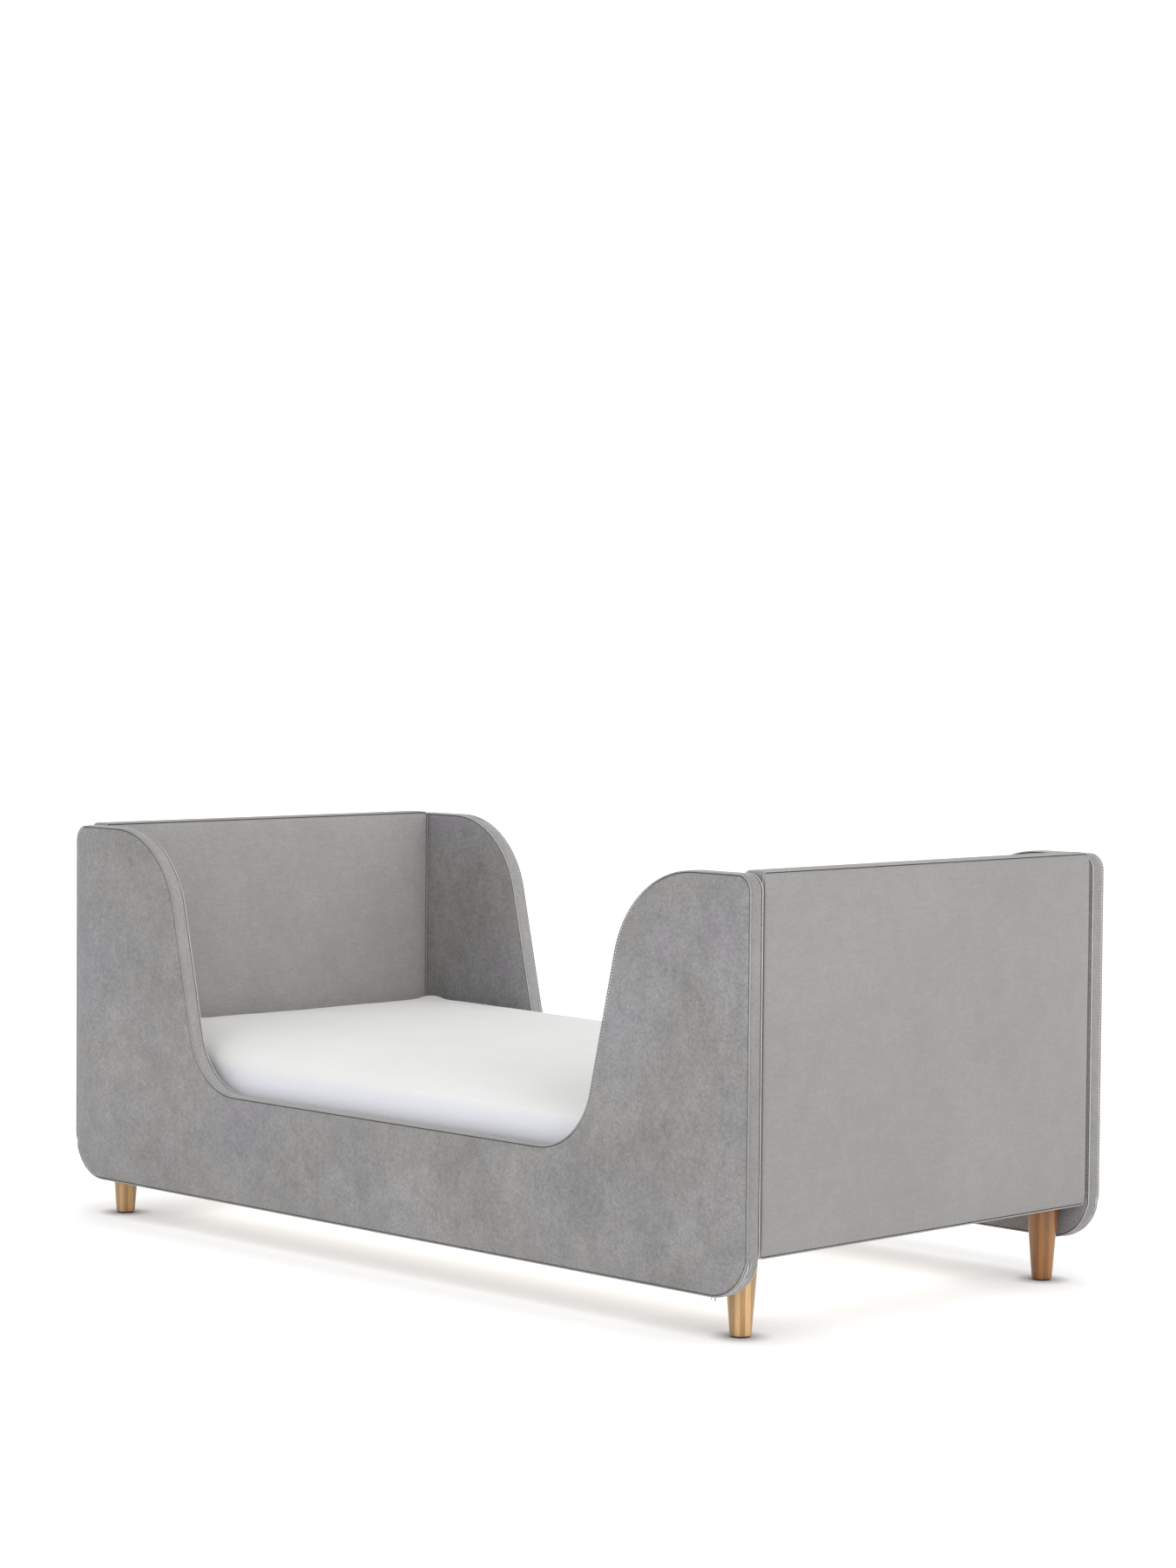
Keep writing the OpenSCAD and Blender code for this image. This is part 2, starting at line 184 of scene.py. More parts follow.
class Shader:
    """A new material with its surface shader and short ways to add and join nodes"""

    def __init__(self, name, **surface):
        self.material = bpy.data.materials.new(name)
        self.material.use_nodes = True
        self.tree = self.material.node_tree
        self.surface = self.tree.nodes["Principled BSDF"]
        for socket, value in surface.items():
            self.surface.inputs[socket.replace("_", " ")].default_value = value
        self.place = self.add("ShaderNodeTexCoord").outputs["Object"]

    def add(self, kind, **values):
        node = self.tree.nodes.new(kind)
        for name, value in values.items():
            if hasattr(node, name):
                setattr(node, name, value)
            else:
                node.inputs[name.replace("_", " ")].default_value = value
        return node

    def join(self, out, into):
        self.tree.links.new(out, into)

    def mapped(self, scale, rotation=(0, 0, 0), location=(0, 0, 0)):
        node = self.add("ShaderNodeMapping", Scale=scale, Rotation=rotation, Location=location)
        self.join(self.place, node.inputs["Vector"])
        return node.outputs["Vector"]

    def along(self, axis, rotation=(0, 0, 0)):
        """How far a point lies along one axis, on axes turned by rotation"""
        node = self.add("ShaderNodeSeparateXYZ")
        self.join(self.mapped((1, 1, 1), rotation=rotation), node.inputs[0])
        return node.outputs[axis]

    def noise(self, scale, detail=3.0, roughness=0.5, stretch=(1, 1, 1), offset=(0, 0, 0)):
        node = self.add("ShaderNodeTexNoise", Scale=scale, Detail=detail, Roughness=roughness)
        self.join(self.mapped(stretch, location=offset), node.inputs["Vector"])
        return node.outputs["Fac"]

    def wave(self, scale, direction):
        node = self.add("ShaderNodeTexWave", Scale=scale, bands_direction=direction)
        self.join(self.place, node.inputs["Vector"])
        return node.outputs["Fac"]

    def maths(self, operation, a, b=0.0, c=0.0):
        node = self.add("ShaderNodeMath", operation=operation)
        for socket, value in zip(node.inputs, (a, b, c)):
            if isinstance(value, bpy.types.NodeSocket):
                self.join(value, socket)
            else:
                socket.default_value = value
        return node.outputs[0]

    def spread(self, fac, low, high, start=0.0, end=1.0):
        """fac from start to end as a number from low to high"""
        node = self.add("ShaderNodeMapRange", From_Min=start, From_Max=end, To_Min=low, To_Max=high)
        self.join(fac, node.inputs["Value"])
        return node.outputs["Result"]

    def ramp(self, fac, stops):
        node = self.add("ShaderNodeValToRGB")
        band = node.color_ramp.elements
        while len(band) < len(stops):
            band.new(0.5)
        for element, (position, colour) in zip(band, stops):
            element.position = position
            element.color = (*colour, 1.0)
        self.join(fac, node.inputs["Fac"])
        return node.outputs["Color"]

    def shades(self, fac, colour, *stops):
        """Shades of one colour: each stop is a position and a brightness"""
        return self.ramp(fac, [(position, times(colour, brightness)) for position, brightness in stops])

    def shaded(self, base, fac, *stops):
        """base made darker and lighter by fac, with stops as in shades"""
        return self.blend(1.0, base, self.shades(fac, WHITE, *stops), "MULTIPLY")

    def blend(self, fac, a, b, mode="MIX"):
        node = self.add("ShaderNodeMix", data_type="RGBA", blend_type=mode)
        for index, value in ((MIX_FACTOR, fac), (MIX_FIRST, a), (MIX_SECOND, b)):
            if isinstance(value, bpy.types.NodeSocket):
                self.join(value, node.inputs[index])
            else:
                node.inputs[index].default_value = (*value, 1.0) if isinstance(value, tuple) else value
        return node.outputs[MIX_RESULT]

    def bump(self, height, strength, distance, under=None):
        node = self.add("ShaderNodeBump", Strength=strength, Distance=distance)
        self.join(height, node.inputs["Height"])
        if under is not None:
            self.join(under, node.inputs["Normal"])
        return node.outputs["Normal"]

    def finish(self, colour, normal=None, roughness=None):
        for out, socket in ((colour, "Base Color"), (normal, "Normal"), (roughness, "Roughness")):
            if out is not None:
                self.join(out, self.surface.inputs[socket])
        return self.material


def times(colour, factor):
    return tuple(c * factor for c in colour)


def velvet(name, colour, mottle, cool=0.0, ribs=0.0, ends=1.0):
    """Short-pile velvet: brushed patches, small crushed marks, the grain of the pile and faint ribs of the weave

    mottle is how strong the patches are, cool how blue some of them are, and ends how much of its brightness
    the cloth keeps where it turns down the bed's two ends, which is painted shade."""
    s = Shader(name, Roughness=0.86, Specular_IOR_Level=0.20, Sheen_Weight=0.28, Sheen_Roughness=0.42)
    patches = s.noise(7.0, detail=5.0, roughness=0.64, stretch=(1, 1, 0.9))
    base = s.shades(patches, colour, (0.34, 1.0 - mottle), (0.50, 1.0), (0.66, 1.0 + mottle))
    tint = s.spread(s.noise(5.0, detail=2.0, offset=(3, 1, 2)), 0.0, cool, 0.45, 0.65)
    shade = s.blend(tint, base, COOL_NAP)
    marks = s.noise(40.0, detail=5.0, roughness=0.68, stretch=(1, 1, 0.8), offset=(5, 2, 7))
    grain = s.noise(460.0, detail=3.0, roughness=0.7)
    nap = s.noise(215.0, detail=2.0, roughness=0.6, offset=(1, 9, 4))
    streaks = s.noise(420.0, detail=3.0, roughness=0.6, stretch=(0.09, 0.09, 1))
    for layer, strength in ((marks, 0.62 * mottle), (grain, 1.05 * mottle), (nap, 0.85 * mottle), (streaks, ribs)):
        if strength:
            shade = s.shaded(shade, layer, (0.36, 1.0 - strength), (0.64, 1.0 + strength))
    # Painted shade: the cloth is made darker where it turns down the bed's two ends, past 0.722 m from the middle.
    if ends != 1.0:
        turned = s.spread(s.maths("ABSOLUTE", s.along("X")), 0.0, 1.0, 0.722, 0.750)
        shade = s.blend(turned, shade, (ends * 1.02, ends, ends * 0.99), "MULTIPLY")
    weave = s.maths("ADD", s.wave(420.0, "X"), s.wave(420.0, "Z"))
    low = s.bump(weave, 0.08, 0.0004)
    return s.finish(shade, s.bump(grain, 0.55, 0.0011, low), s.spread(patches, 0.80, 0.92))


def cotton(name, colour):
    """Smooth close-woven cotton, with painted light: lighter and bluer down its sides"""
    s = Shader(name, Roughness=0.80, Specular_IOR_Level=0.22, Sheen_Weight=0.06, Sheen_Roughness=0.5)
    # Painted light: below 0.276 m up, the sheet turns lighter and bluer.
    down = s.spread(s.along("Z"), 1.0, 0.0, 0.248, 0.276)
    base = s.shades(s.noise(7.0, detail=3.0), colour, (0.35, 0.975), (0.65, 1.0))
    side_lit = s.blend(down, base, (colour[0] * 1.10, colour[1] * 1.12, colour[2] * 1.22))
    threads = s.noise(520.0, detail=2.0, stretch=(0.25, 1, 1))
    shade = s.shaded(side_lit, threads, (0.36, 0.985), (0.64, 1.01))
    weave = s.maths("ADD", s.wave(900.0, "X"), s.wave(900.0, "Y"))
    creases = s.bump(s.noise(24.0, detail=4.0, stretch=(1, 1.6, 1)), 0.16, 0.003)
    return s.finish(shade, s.bump(weave, 0.12, 0.0002, creases))


def foam(name, colour):
    """Open-cell foam"""
    s = Shader(name, Roughness=0.95, Specular_IOR_Level=0.1)
    texture = s.add("ShaderNodeTexVoronoi", Scale=700.0)
    s.join(s.place, texture.inputs["Vector"])
    cells = texture.outputs["Distance"]
    return s.finish(s.shades(cells, colour, (0.0, 0.62), (0.45, 1.0)), s.bump(cells, 0.5, 0.0008))


def thread(name, colour):
    """Twisted seam thread"""
    s = Shader(name, Roughness=0.7, Sheen_Weight=0.2)
    twist = s.noise(2600.0, detail=1.0)
    return s.finish(s.shades(twist, colour, (0.3, 0.7), (0.7, 1.2)), s.bump(twist, 0.4, 0.0002))


def planed_wood(name, colour, along, rings=26.0, contrast=0.22, gloss=0.55):
    """Sawn softwood with its grain along the axis named"""
    s = Shader(name, Roughness=gloss, Specular_IOR_Level=0.35)
    stretch = [1.0, 1.0, 1.0]
    stretch["XYZ".index(along)] = 0.05
    figure = s.noise(rings, detail=3.0, roughness=0.55, stretch=stretch)
    lines = s.maths("FRACT", s.maths("MULTIPLY", figure, 9.0))
    fibre = s.noise(420.0, detail=3.0, roughness=0.6, stretch=stretch)
    base = s.shades(lines, colour, (0.0, 1.0 - contrast), (0.22, 1.0), (0.75, 1.06), (1.0, 1.0 - contrast))
    shade = s.shaded(base, fibre, (0.3, 0.88), (0.7, 1.06))
    return s.finish(shade, s.bump(fibre, 0.15, 0.0004), s.spread(fibre, gloss - 0.08, gloss + 0.1))


def plywood(name, colour):
    """Birch ply: plain faces, veneer lines on the edges"""
    s = Shader(name, Roughness=0.6, Specular_IOR_Level=0.3)
    figure = s.noise(14.0, detail=4.0, stretch=(0.3, 1, 1))
    base = s.shades(figure, colour, (0.3, 0.86), (0.7, 1.05))
    return s.finish(s.shaded(base, s.wave(150.0, "Y"), (0.35, 0.82), (0.6, 1.0)))


# Width of the staves that a leg is glued up from
STAVE = 0.0072


def leg_wood(name, colour):
    """Clear-lacquered leg glued up from upright staves, light and dark ones in turn"""
    s = Shader(name, Roughness=0.34, Specular_IOR_Level=0.5, Coat_Weight=0.35, Coat_Roughness=0.16)
    across = s.along("X", rotation=(0, 0, math.radians(-45)))
    stave = s.maths("FLOOR", s.maths("DIVIDE", across, STAVE))
    pick = s.add("ShaderNodeTexWhiteNoise", noise_dimensions="1D")
    s.join(stave, pick.inputs["W"])
    turn = s.maths("MULTIPLY", s.maths("FLOORED_MODULO", stave, 2.0), 0.5)
    tone = s.maths("ADD", turn, s.maths("MULTIPLY", pick.outputs["Value"], 0.5))
    redder = (colour[0] * 0.86, colour[1] * 0.78, colour[2] * 0.66)
    tones = s.ramp(
        tone, [(0.0, times(colour, 0.72)), (0.45, redder), (0.55, times(colour, 1.16)), (1.0, times(colour, 1.34))]
    )
    grain = s.noise(150.0, detail=4.0, roughness=0.6, stretch=(1, 1, 0.06))
    pores = s.noise(900.0, detail=2.0, stretch=(1, 1, 0.05))
    figured = s.shaded(tones, grain, (0.3, 0.80), (0.68, 1.08))
    fine = s.shaded(figured, pores, (0.3, 0.90), (0.6, 1.03))
    return s.finish(fine, s.bump(grain, 0.08, 0.0004), s.spread(grain, 0.28, 0.42))


def zinc(name, colour, roughness):
    """Plated steel with faint mottling"""
    s = Shader(name, Metallic=1.0, Roughness=roughness)
    cloud = s.noise(260.0, detail=3.0)
    shade = s.shades(cloud, colour, (0.3, 0.85), (0.7, 1.0))
    return s.finish(shade, s.bump(cloud, 0.08, 0.0003), s.spread(cloud, roughness - 0.06, roughness + 0.1))


def felt(name):
    """Pressed felt"""
    s = Shader(name, Roughness=0.98, Specular_IOR_Level=0.1, Sheen_Weight=0.3)
    fluff = s.noise(1300.0, detail=3.0)
    shade = s.ramp(fluff, [(0.3, (0.035, 0.032, 0.030)), (0.7, (0.075, 0.070, 0.066))])
    return s.finish(shade, s.bump(fluff, 0.7, 0.0006))


# ---------------------------------------------------------------- outlines


def arc(x, z, r, start, end, steps):
    """Points on an arc about (x, z), the first one left out"""
    turns = np.radians(start + (end - start) * np.arange(1, steps + 1) / steps)
    return [(x + r * math.cos(t), z + r * math.sin(t)) for t in turns]


def straight(start, to, count):
    """Points on the straight line from start, left out, to the point named"""
    (x, z), (to_x, to_z) = start, to
    return [(x + (to_x - x) * i / count, z + (to_z - z) * i / count) for i in range(1, count + 1)]


def inner_radius(r, e):
    """Corner radius of the contour that lies e inside a corner of radius r: parallel at first, then rounder"""
    parallel = min(e, 4 * MM)
    return r - parallel + 0.5 * (e - parallel)


# Spacing of points along a side panel's bottom edge
BOTTOM_STEP = 0.014


def side_outline(e):
    """Outline of a side panel moved inwards by e, the same number of points for every e"""
    p = sizes()
    low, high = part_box("front_panel_edge_band")
    end, bottom, top = high.x, low.z, high.z
    rise = (top - p.shoulder_r) - (p.rail_top + p.foot_r)
    reach = p.foot_in - p.shoulder_in
    flank = math.degrees(math.acos((p.shoulder_r + p.foot_r) / math.hypot(reach, rise)) - math.atan2(rise, reach))
    low_r, high_r = inner_radius(p.low_corner_r, e), inner_radius(p.high_corner_r, e)
    half = [(0.0, bottom + e)]
    half += straight(half[-1], (end - e - low_r, bottom + e), round((end - p.low_corner_r) / BOTTOM_STEP))
    half += arc(end - e - low_r, bottom + e + low_r, low_r, -90, 0, 60)
    half += straight(half[-1], (end - e, top - e - high_r), 34)
    half += arc(end - e - high_r, top - e - high_r, high_r, 0, 90, 10)
    half += straight(half[-1], (end - p.shoulder_in, top - e), 7)
    half += arc(end - p.shoulder_in, top - p.shoulder_r, p.shoulder_r - e, 90, 180 - flank, 22)
    foot = (end - p.foot_in, p.rail_top + p.foot_r)
    reach_in = p.foot_r + e
    angle = math.radians(-flank)
    half += straight(half[-1], (foot[0] + reach_in * math.cos(angle), foot[1] + reach_in * math.sin(angle)), 14)
    half += arc(*foot, reach_in, -flank, -90, 16)
    half += straight(half[-1], (0.0, p.rail_top - e), 26)
    mirrored = [(-x, z) for x, z in half[-2:0:-1]]
    return np.array(half + mirrored)


def end_outline(e):
    """Outline of the headboard or footboard moved inwards by e"""
    low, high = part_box("footboard_edge_band")
    half_w, bottom, top = high.y - e, low.z + e, high.z - e
    r = inner_radius(sizes().end_corner_r, e)
    half = [(0.0, bottom)]
    half += straight(half[-1], (half_w - r, bottom), 24)
    half += arc(half_w - r, bottom + r, r, -90, 0, 8)
    half += straight(half[-1], (half_w, top - r), 34)
    half += arc(half_w - r, top - r, r, 0, 90, 8)
    half += straight(half[-1], (0.0, top), 24)
    mirrored = [(-y, z) for y, z in half[-2:0:-1]]
    return np.array(half + mirrored)


class Panel:
    """A padded panel: its outline, its seam planes and the way from a place on it to the bed's frame.

    A place on a panel is (a, z, w): a along it, z up, and w outwards from a seam plane."""

    def __init__(self, name):
        self.name = name
        self.is_side = name in SIDES
        self.sign = SIDES.get(name) or ENDS[name]
        low, high = self.low, self.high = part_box(name + "_edge_band")
        axis = 1 if self.is_side else 0
        wrap = 0.0 if self.is_side else sizes().wrap
        inner, outer = sorted((abs(low[axis]), abs(high[axis])))
        self.inner, self.outer = inner + wrap, outer - wrap
        self.outline = side_outline if self.is_side else end_outline
        cover_low, cover_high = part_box(name + "_outer_cover")
        self.crown_out = max(abs(cover_low[axis]), abs(cover_high[axis])) - self.outer
        cover_low, cover_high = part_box(name + "_inner_cover")
        self.crown_in = self.inner - min(abs(cover_low[axis]), abs(cover_high[axis]))

    def point(self, a, z, depth):
        return (a, self.sign * depth, z) if self.is_side else (self.sign * depth, a, z)

    def rolled(self, e, roll):
        """Outline moved in by e, its upright edges moved out by roll"""
        points = self.outline(e)
        return points * (1.0 + roll / points[:, 0].max(), 1.0)

    def depth(self, face, w):
        return self.outer + w if face == "outer" else self.inner - w


# ---------------------------------------------------------------- mesh helpers


def grow_ring(bm, order, edges, points):
    """Extrudes a closed loop of edges once and sets its new points. Returns the new loop."""
    made = bmesh.ops.extrude_edge_only(bm, edges=edges)["geom"]
    new = {v for v in made if isinstance(v, bmesh.types.BMVert)}
    order = [next(e.other_vert(v) for e in v.link_edges if e.other_vert(v) in new) for v in order]
    for v, p in zip(order, points):
        v.co = p
    edges = [e for e in made if isinstance(e, bmesh.types.BMEdge) and e.verts[0] in new and e.verts[1] in new]
    return order, edges


def first_ring(bm, points):
    order = [bm.verts.new(p) for p in points]
    edges = [bm.edges.new((a, b)) for a, b in zip(order, order[1:] + order[:1])]
    return order, edges


def swept(bm, rings):
    """Skin over a list of rings of points. Returns the edges of its first and last ring."""
    order, edges = first_ring(bm, rings[0])
    first = edges
    for points in rings[1:]:
        order, edges = grow_ring(bm, order, edges, points)
    return first, edges


def settle(bm, name, material, smooth=True):
    """Makes a finished object of a bmesh"""
    bmesh.ops.recalc_face_normals(bm, faces=bm.faces)
    mesh = bpy.data.meshes.new(name)
    bm.to_mesh(mesh)
    bm.free()
    for polygon in mesh.polygons:
        polygon.use_smooth = smooth
    mesh.materials.append(material)
    piece = bpy.data.objects.new(name, mesh)
    bpy.context.scene.collection.objects.link(piece)
    return piece


def add_subdivision(piece):
    m = piece.modifiers.new("Smooth", "SUBSURF")
    m.levels = m.render_levels = 1
    m.boundary_smooth = "PRESERVE_CORNERS"


def add_thickness(piece, thickness):
    """Gives a skin its thickness, inwards"""
    m = piece.modifiers.new("Thickness", "SOLIDIFY")
    m.thickness = thickness
    m.offset = -1.0


def grid_cut(bm, faces, low, high, step, axes):
    """Cuts faces along planes across the two axes, step apart"""
    geometry = list(faces) + [e for f in faces for e in f.edges] + [v for f in faces for v in f.verts]
    for axis in axes:
        count = max(1, round((high[axis] - low[axis]) / step))
        for i in range(1, count):
            at = low[axis] + (high[axis] - low[axis]) * i / count
            normal = Vector((0, 0, 0))
            normal[axis] = 1.0
            geometry = bmesh.ops.bisect_plane(
                bm, geom=list(dict.fromkeys(geometry)), dist=1e-6, plane_co=normal * at, plane_no=normal
            )["geom"]


# ---------------------------------------------------------------- velvet panels

# Rise of the velvet over the foam: distance in from the edge, share of the crown reached there, and how far
# the outer face of the headboard or footboard rolls out sideways over its upright edges
SWELL = (
    (3.4, 0.13, 1.4),
    (5.0, 0.22, 3.2),
    (7.5, 0.34, 6.0),
    (11.0, 0.47, 9.2),
    (16.0, 0.61, 12.0),
    (23.0, 0.76, 13.0),
    (33.0, 0.89, 11.5),
    (46.0, 0.97, 6.0),
)
# The cloth's way down into the seam: distance in from the edge, height over the seam plane, and roll
SEAM_LIP = ((3.9, -2.7, 0.0), (3.1, -1.9, 0.5), (2.75, -0.8, 1.0), (3.0, 0.05, 2.0))


def wobble(a, z, seed):
    """Slight unevenness of stuffed cloth, from -1 to 1"""
    broad = noise.noise(Vector((a * 7, z * 7, seed)))
    small = noise.noise(Vector((a * 26, z * 26, seed + 9)))
    return 0.75 * broad + 0.25 * small


def crown_of(panel, face):
    return panel.crown_out if face == "outer" else panel.crown_in


def rolls(panel, face):
    """Whether a face rolls out over its upright edges"""
    return not panel.is_side and face == "outer"


def face_rings(panel, face):
    """Contours of a face cover from inside the seam to the flat of the face: inset, height and roll"""
    crown = crown_of(panel, face)
    rolled = MM if rolls(panel, face) else 0.0
    steps = [(e * MM, w * MM, roll * rolled) for e, w, roll in SEAM_LIP]
    return steps + [(e * MM, share * crown, roll * rolled) for e, share, roll in SWELL]


# Spacing of points over the flat of a face
FACE_GRID = 0.017


def pucker(panel, face, a, z):
    """Depth of the small gathers beside the cover's closure, at the low corners of a side panel"""
    if not panel.is_side:
        return 0.0
    reach = math.hypot((panel.high.x - 3 * MM) - abs(a), (z - panel.low.z - 56 * MM) * 0.8)
    deepest = 2.6 * MM if face == "outer" else 1.6 * MM
    return deepest * math.exp(-((reach / (5 * MM)) ** 2))


def face_cover(panel, face, material):
    """The velvet over one face of a panel"""
    crown, steps = crown_of(panel, face), face_rings(panel, face)
    seed = len(panel.name) + (0 if face == "outer" else 31)
    bm = bmesh.new()
    rings = []
    for e, w, roll in steps:
        free = min(1.0, max(0.0, (e - 3 * MM) / (25 * MM)))
        row = []
        for a, z in panel.rolled(e, roll):
            lift = w + 0.5 * MM * free * wobble(a, z, seed) - pucker(panel, face, a, z)
            if e > 3 * MM:
                lift += 0.55 * MM * math.exp(-e / (11 * MM)) * noise.noise(Vector((a * 62, z * 62, seed)))
            row.append(panel.point(a, z, panel.depth(face, lift)))
        rings.append(row)
    _, edges = swept(bm, rings)
    middle = bmesh.ops.contextual_create(bm, geom=edges)["faces"]
    outline = panel.rolled(steps[-1][0], steps[-1][2])
    low, high = outline.min(0), outline.max(0)
    along = 0 if panel.is_side else 1
    corner_low, corner_high = Vector((0, 0, low[1])), Vector((0, 0, high[1]))
    corner_low[along], corner_high[along] = low[0], high[0]
    before = set(bm.verts)
    grid_cut(bm, middle, corner_low, corner_high, FACE_GRID, (along, 2))
    depth_axis = 1 if panel.is_side else 0
    for v in bm.verts:
        if v not in before:
            a, z = v.co[along], v.co.z
            v.co[depth_axis] = panel.sign * panel.depth(face, crown + 0.5 * MM * wobble(a, z, seed))
    piece = settle(bm, f"{panel.name}_{face}_velvet", material)
    add_subdivision(piece)
    add_thickness(piece, sizes().cloth_t)
    return piece


def foam_pad(panel, face, material):
    """Foam under a face's velvet, crowned like it, flat against the core"""
    crown = crown_of(panel, face)
    t = sizes().cloth_t * 1.25
    low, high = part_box(f"{panel.name}_{face}_pad")
    axis = 1 if panel.is_side else 0
    depths = sorted((abs(low[axis]), abs(high[axis])))
    flat = depths[0] if face == "outer" else depths[1]
    seam = panel.outer if face == "outer" else panel.inner
    base = -abs(seam - flat)
    rolled = 1.0 if rolls(panel, face) else 0.0
    steps = [(4.6, base / MM, 0.0), (4.4, -t / MM - 1.2, 0.0)]
    for e, share, roll in SWELL[1::2]:
        steps.append((e + 1.5, share * crown / MM - t / MM, max(0.0, roll - 1.5) * rolled))
    bm = bmesh.new()
    rings = []
    for e, w, roll in steps:
        gathered = w > base / MM
        row = []
        for a, z in panel.rolled(e * MM, roll * MM):
            lift = w * MM - (pucker(panel, face, a, z) if gathered else 0.0)
            row.append(panel.point(a, z, panel.depth(face, lift)))
        rings.append(row)
    for edges in swept(bm, rings):
        bmesh.ops.contextual_create(bm, geom=edges)
    return settle(bm, f"{panel.name}_{face}_foam", material)


# Section of the edge band from one seam to its middle: inset from the outline, distance from the seam plane
BAND_HALF = ((4.2, 3.0), (2.6, 2.0), (1.9, 1.1), (1.35, 1.5), (0.75, 2.2), (0.3, 2.9), (0.05, 3.9))
# Centre of the folded welt in a seam, inset and outwards, and its radius
WELT = (0.65, 0.15, 0.95)
# Where the closure's lips run on the band, from the outer seam, and how far they stand out
CLOSURE = ((5.6, 0.5), (6.5, 1.5), (7.2, -2.0), (7.9, 1.3), (8.9, 0.5))


def closure_share(panel, a, z):
    """How far the closure shows on the band at a place: along the bottom edge and round its corners"""
    if not panel.is_side:
        return 0.0
    rise = (z - panel.low.z) / (54 * MM)
    fade = min(1.0, max(0.0, (1.0 - rise) / 0.12))
    gape = 0.55 + 0.45 * math.sin(abs(a) * 260.0) if rise > 0.04 else 0.45
    return fade * gape


def band_section(panel):
    """Section across the whole band, from the outer seam to the inner one, in metres"""
    width = panel.outer - panel.inner
    start = [(e * MM, w * MM) for e, w in BAND_HALF]
    finish = [(e, width - w) for e, w in reversed(start)]
    swell = 0.65 * MM
    mids = [w * MM for w, _ in CLOSURE] if panel.is_side else []
    mids += [m for m in (width * 0.5, width * 0.68) if m > (max(mids) if mids else 0) + 1.5 * MM]
    if not panel.is_side:
        mids = [width * share for share in (0.2, 0.35, 0.5, 0.65, 0.8)]
    bulge = [(-swell * math.sin(math.pi * m / width), m) for m in mids]
    return start + bulge + finish


def edge_band(panel, material):
    """The velvet boxing round a panel's edge, with a rolled seam at both sides"""
    bm = bmesh.new()
    rings = []
    lips = {round(w * MM, 6): h * MM for w, h in CLOSURE}
    seed = len(panel.name) + 60
    width = panel.outer - panel.inner
    base = panel.outline(0.0)
    for inset, across in band_section(panel):
        row = []
        lip = lips.get(round(across, 6), 0.0) if panel.is_side else 0.0
        middle = math.sin(math.pi * min(1.0, max(0.0, across / width)))
        for (a, z), (a0, z0) in zip(panel.outline(inset), base):
            out = lip * closure_share(panel, a0, z0) + 0.25 * MM * middle * wobble(a0, z0 + across, seed)
            out -= band_join(panel, a0, z0) * middle
            out -= pucker(panel, "outer", a0, z0) * max(0.0, 1.0 - across / (9 * MM))
            row.append((a, z, out, across))
        rings.append(pushed(panel, row))
    swept(bm, rings)
    piece = settle(bm, f"{panel.name}_band_velvet", material)
    add_subdivision(piece)
    add_thickness(piece, sizes().cloth_t * 0.8)
    return piece


def seam_welt(panel, face, material):
    """The folded welt that stands in a seam between a face and the edge band"""
    inset, lift, r = (n * MM for n in WELT)
    sides = 8
    bm = bmesh.new()
    rings = []
    for i in range(sides):
        turn = math.tau * i / sides
        row = []
        for a, z in panel.outline(inset - r * math.cos(turn)):
            w = lift + r * math.sin(turn) - 0.8 * pucker(panel, face, a, z) + 0.12 * MM * wobble(a * 3, z * 3, i)
            row.append(panel.point(a, z, panel.depth(face, w)))
        rings.append(row)
    first, last = swept(bm, rings)
    bmesh.ops.bridge_loops(bm, edges=first + last)
    return settle(bm, f"{panel.name}_{face}_welt", material)


def band_join(panel, a, z):
    """Depth of the pinched cross seam where the ends of the band meet"""
    if not panel.is_side or z < panel.low.z + 60 * MM:
        return 0.0
    return 1.1 * MM * math.exp(-((a / (2.2 * MM)) ** 2))


def pushed(panel, row):
    """Band points moved outwards across the outline by their third number"""
    spots = np.array([(a, z) for a, z, _, _ in row])
    after, before = np.roll(spots, -1, axis=0), np.roll(spots, 1, axis=0)
    along = after - before
    along /= np.linalg.norm(along, axis=1)[:, None]
    outwards = np.stack([along[:, 1], -along[:, 0]], axis=1)
    made = []
    for (a, z, out, across), (na, nz) in zip(row, outwards):
        made.append(panel.point(a + na * out, z + nz * out, panel.outer - across))
    return made


def sink(panel, face, a, z):
    """Shift that follows the gathers, as a distance out from the bed's middle"""
    return pucker(panel, face, a, z) * (1.0 if face == "outer" else -1.0)


def tube(bm, path, radii, sides=8):
    """A closed tapering tube along a path of points"""
    rings = []
    for i, (here, r) in enumerate(zip(path, radii)):
        ahead = (path[min(i + 1, len(path) - 1)] - path[max(i - 1, 0)]).normalized()
        first = ahead.orthogonal().normalized() if i == 0 else (first - ahead * first.dot(ahead)).normalized()
        second = ahead.cross(first)
        turns = [math.tau * k / sides for k in range(sides)]
        rings.append([here + first * r * math.cos(t) + second * r * math.sin(t) for t in turns])
    for edges in swept(bm, rings):
        bmesh.ops.contextual_create(bm, geom=edges)


# Strands of the hand-sewn closure: distance from the outer seam, inset from the outline, radius and seed
LIPS = ((5.2, 0.1, 1.55, 2.0), (8.8, 0.1, 1.35, 5.0))
# A dark strand sunk between the lips: painted shadow in the closure's opening.
OPENING_SHADOW = ((7.0, -0.35, 0.85, 8.0),)


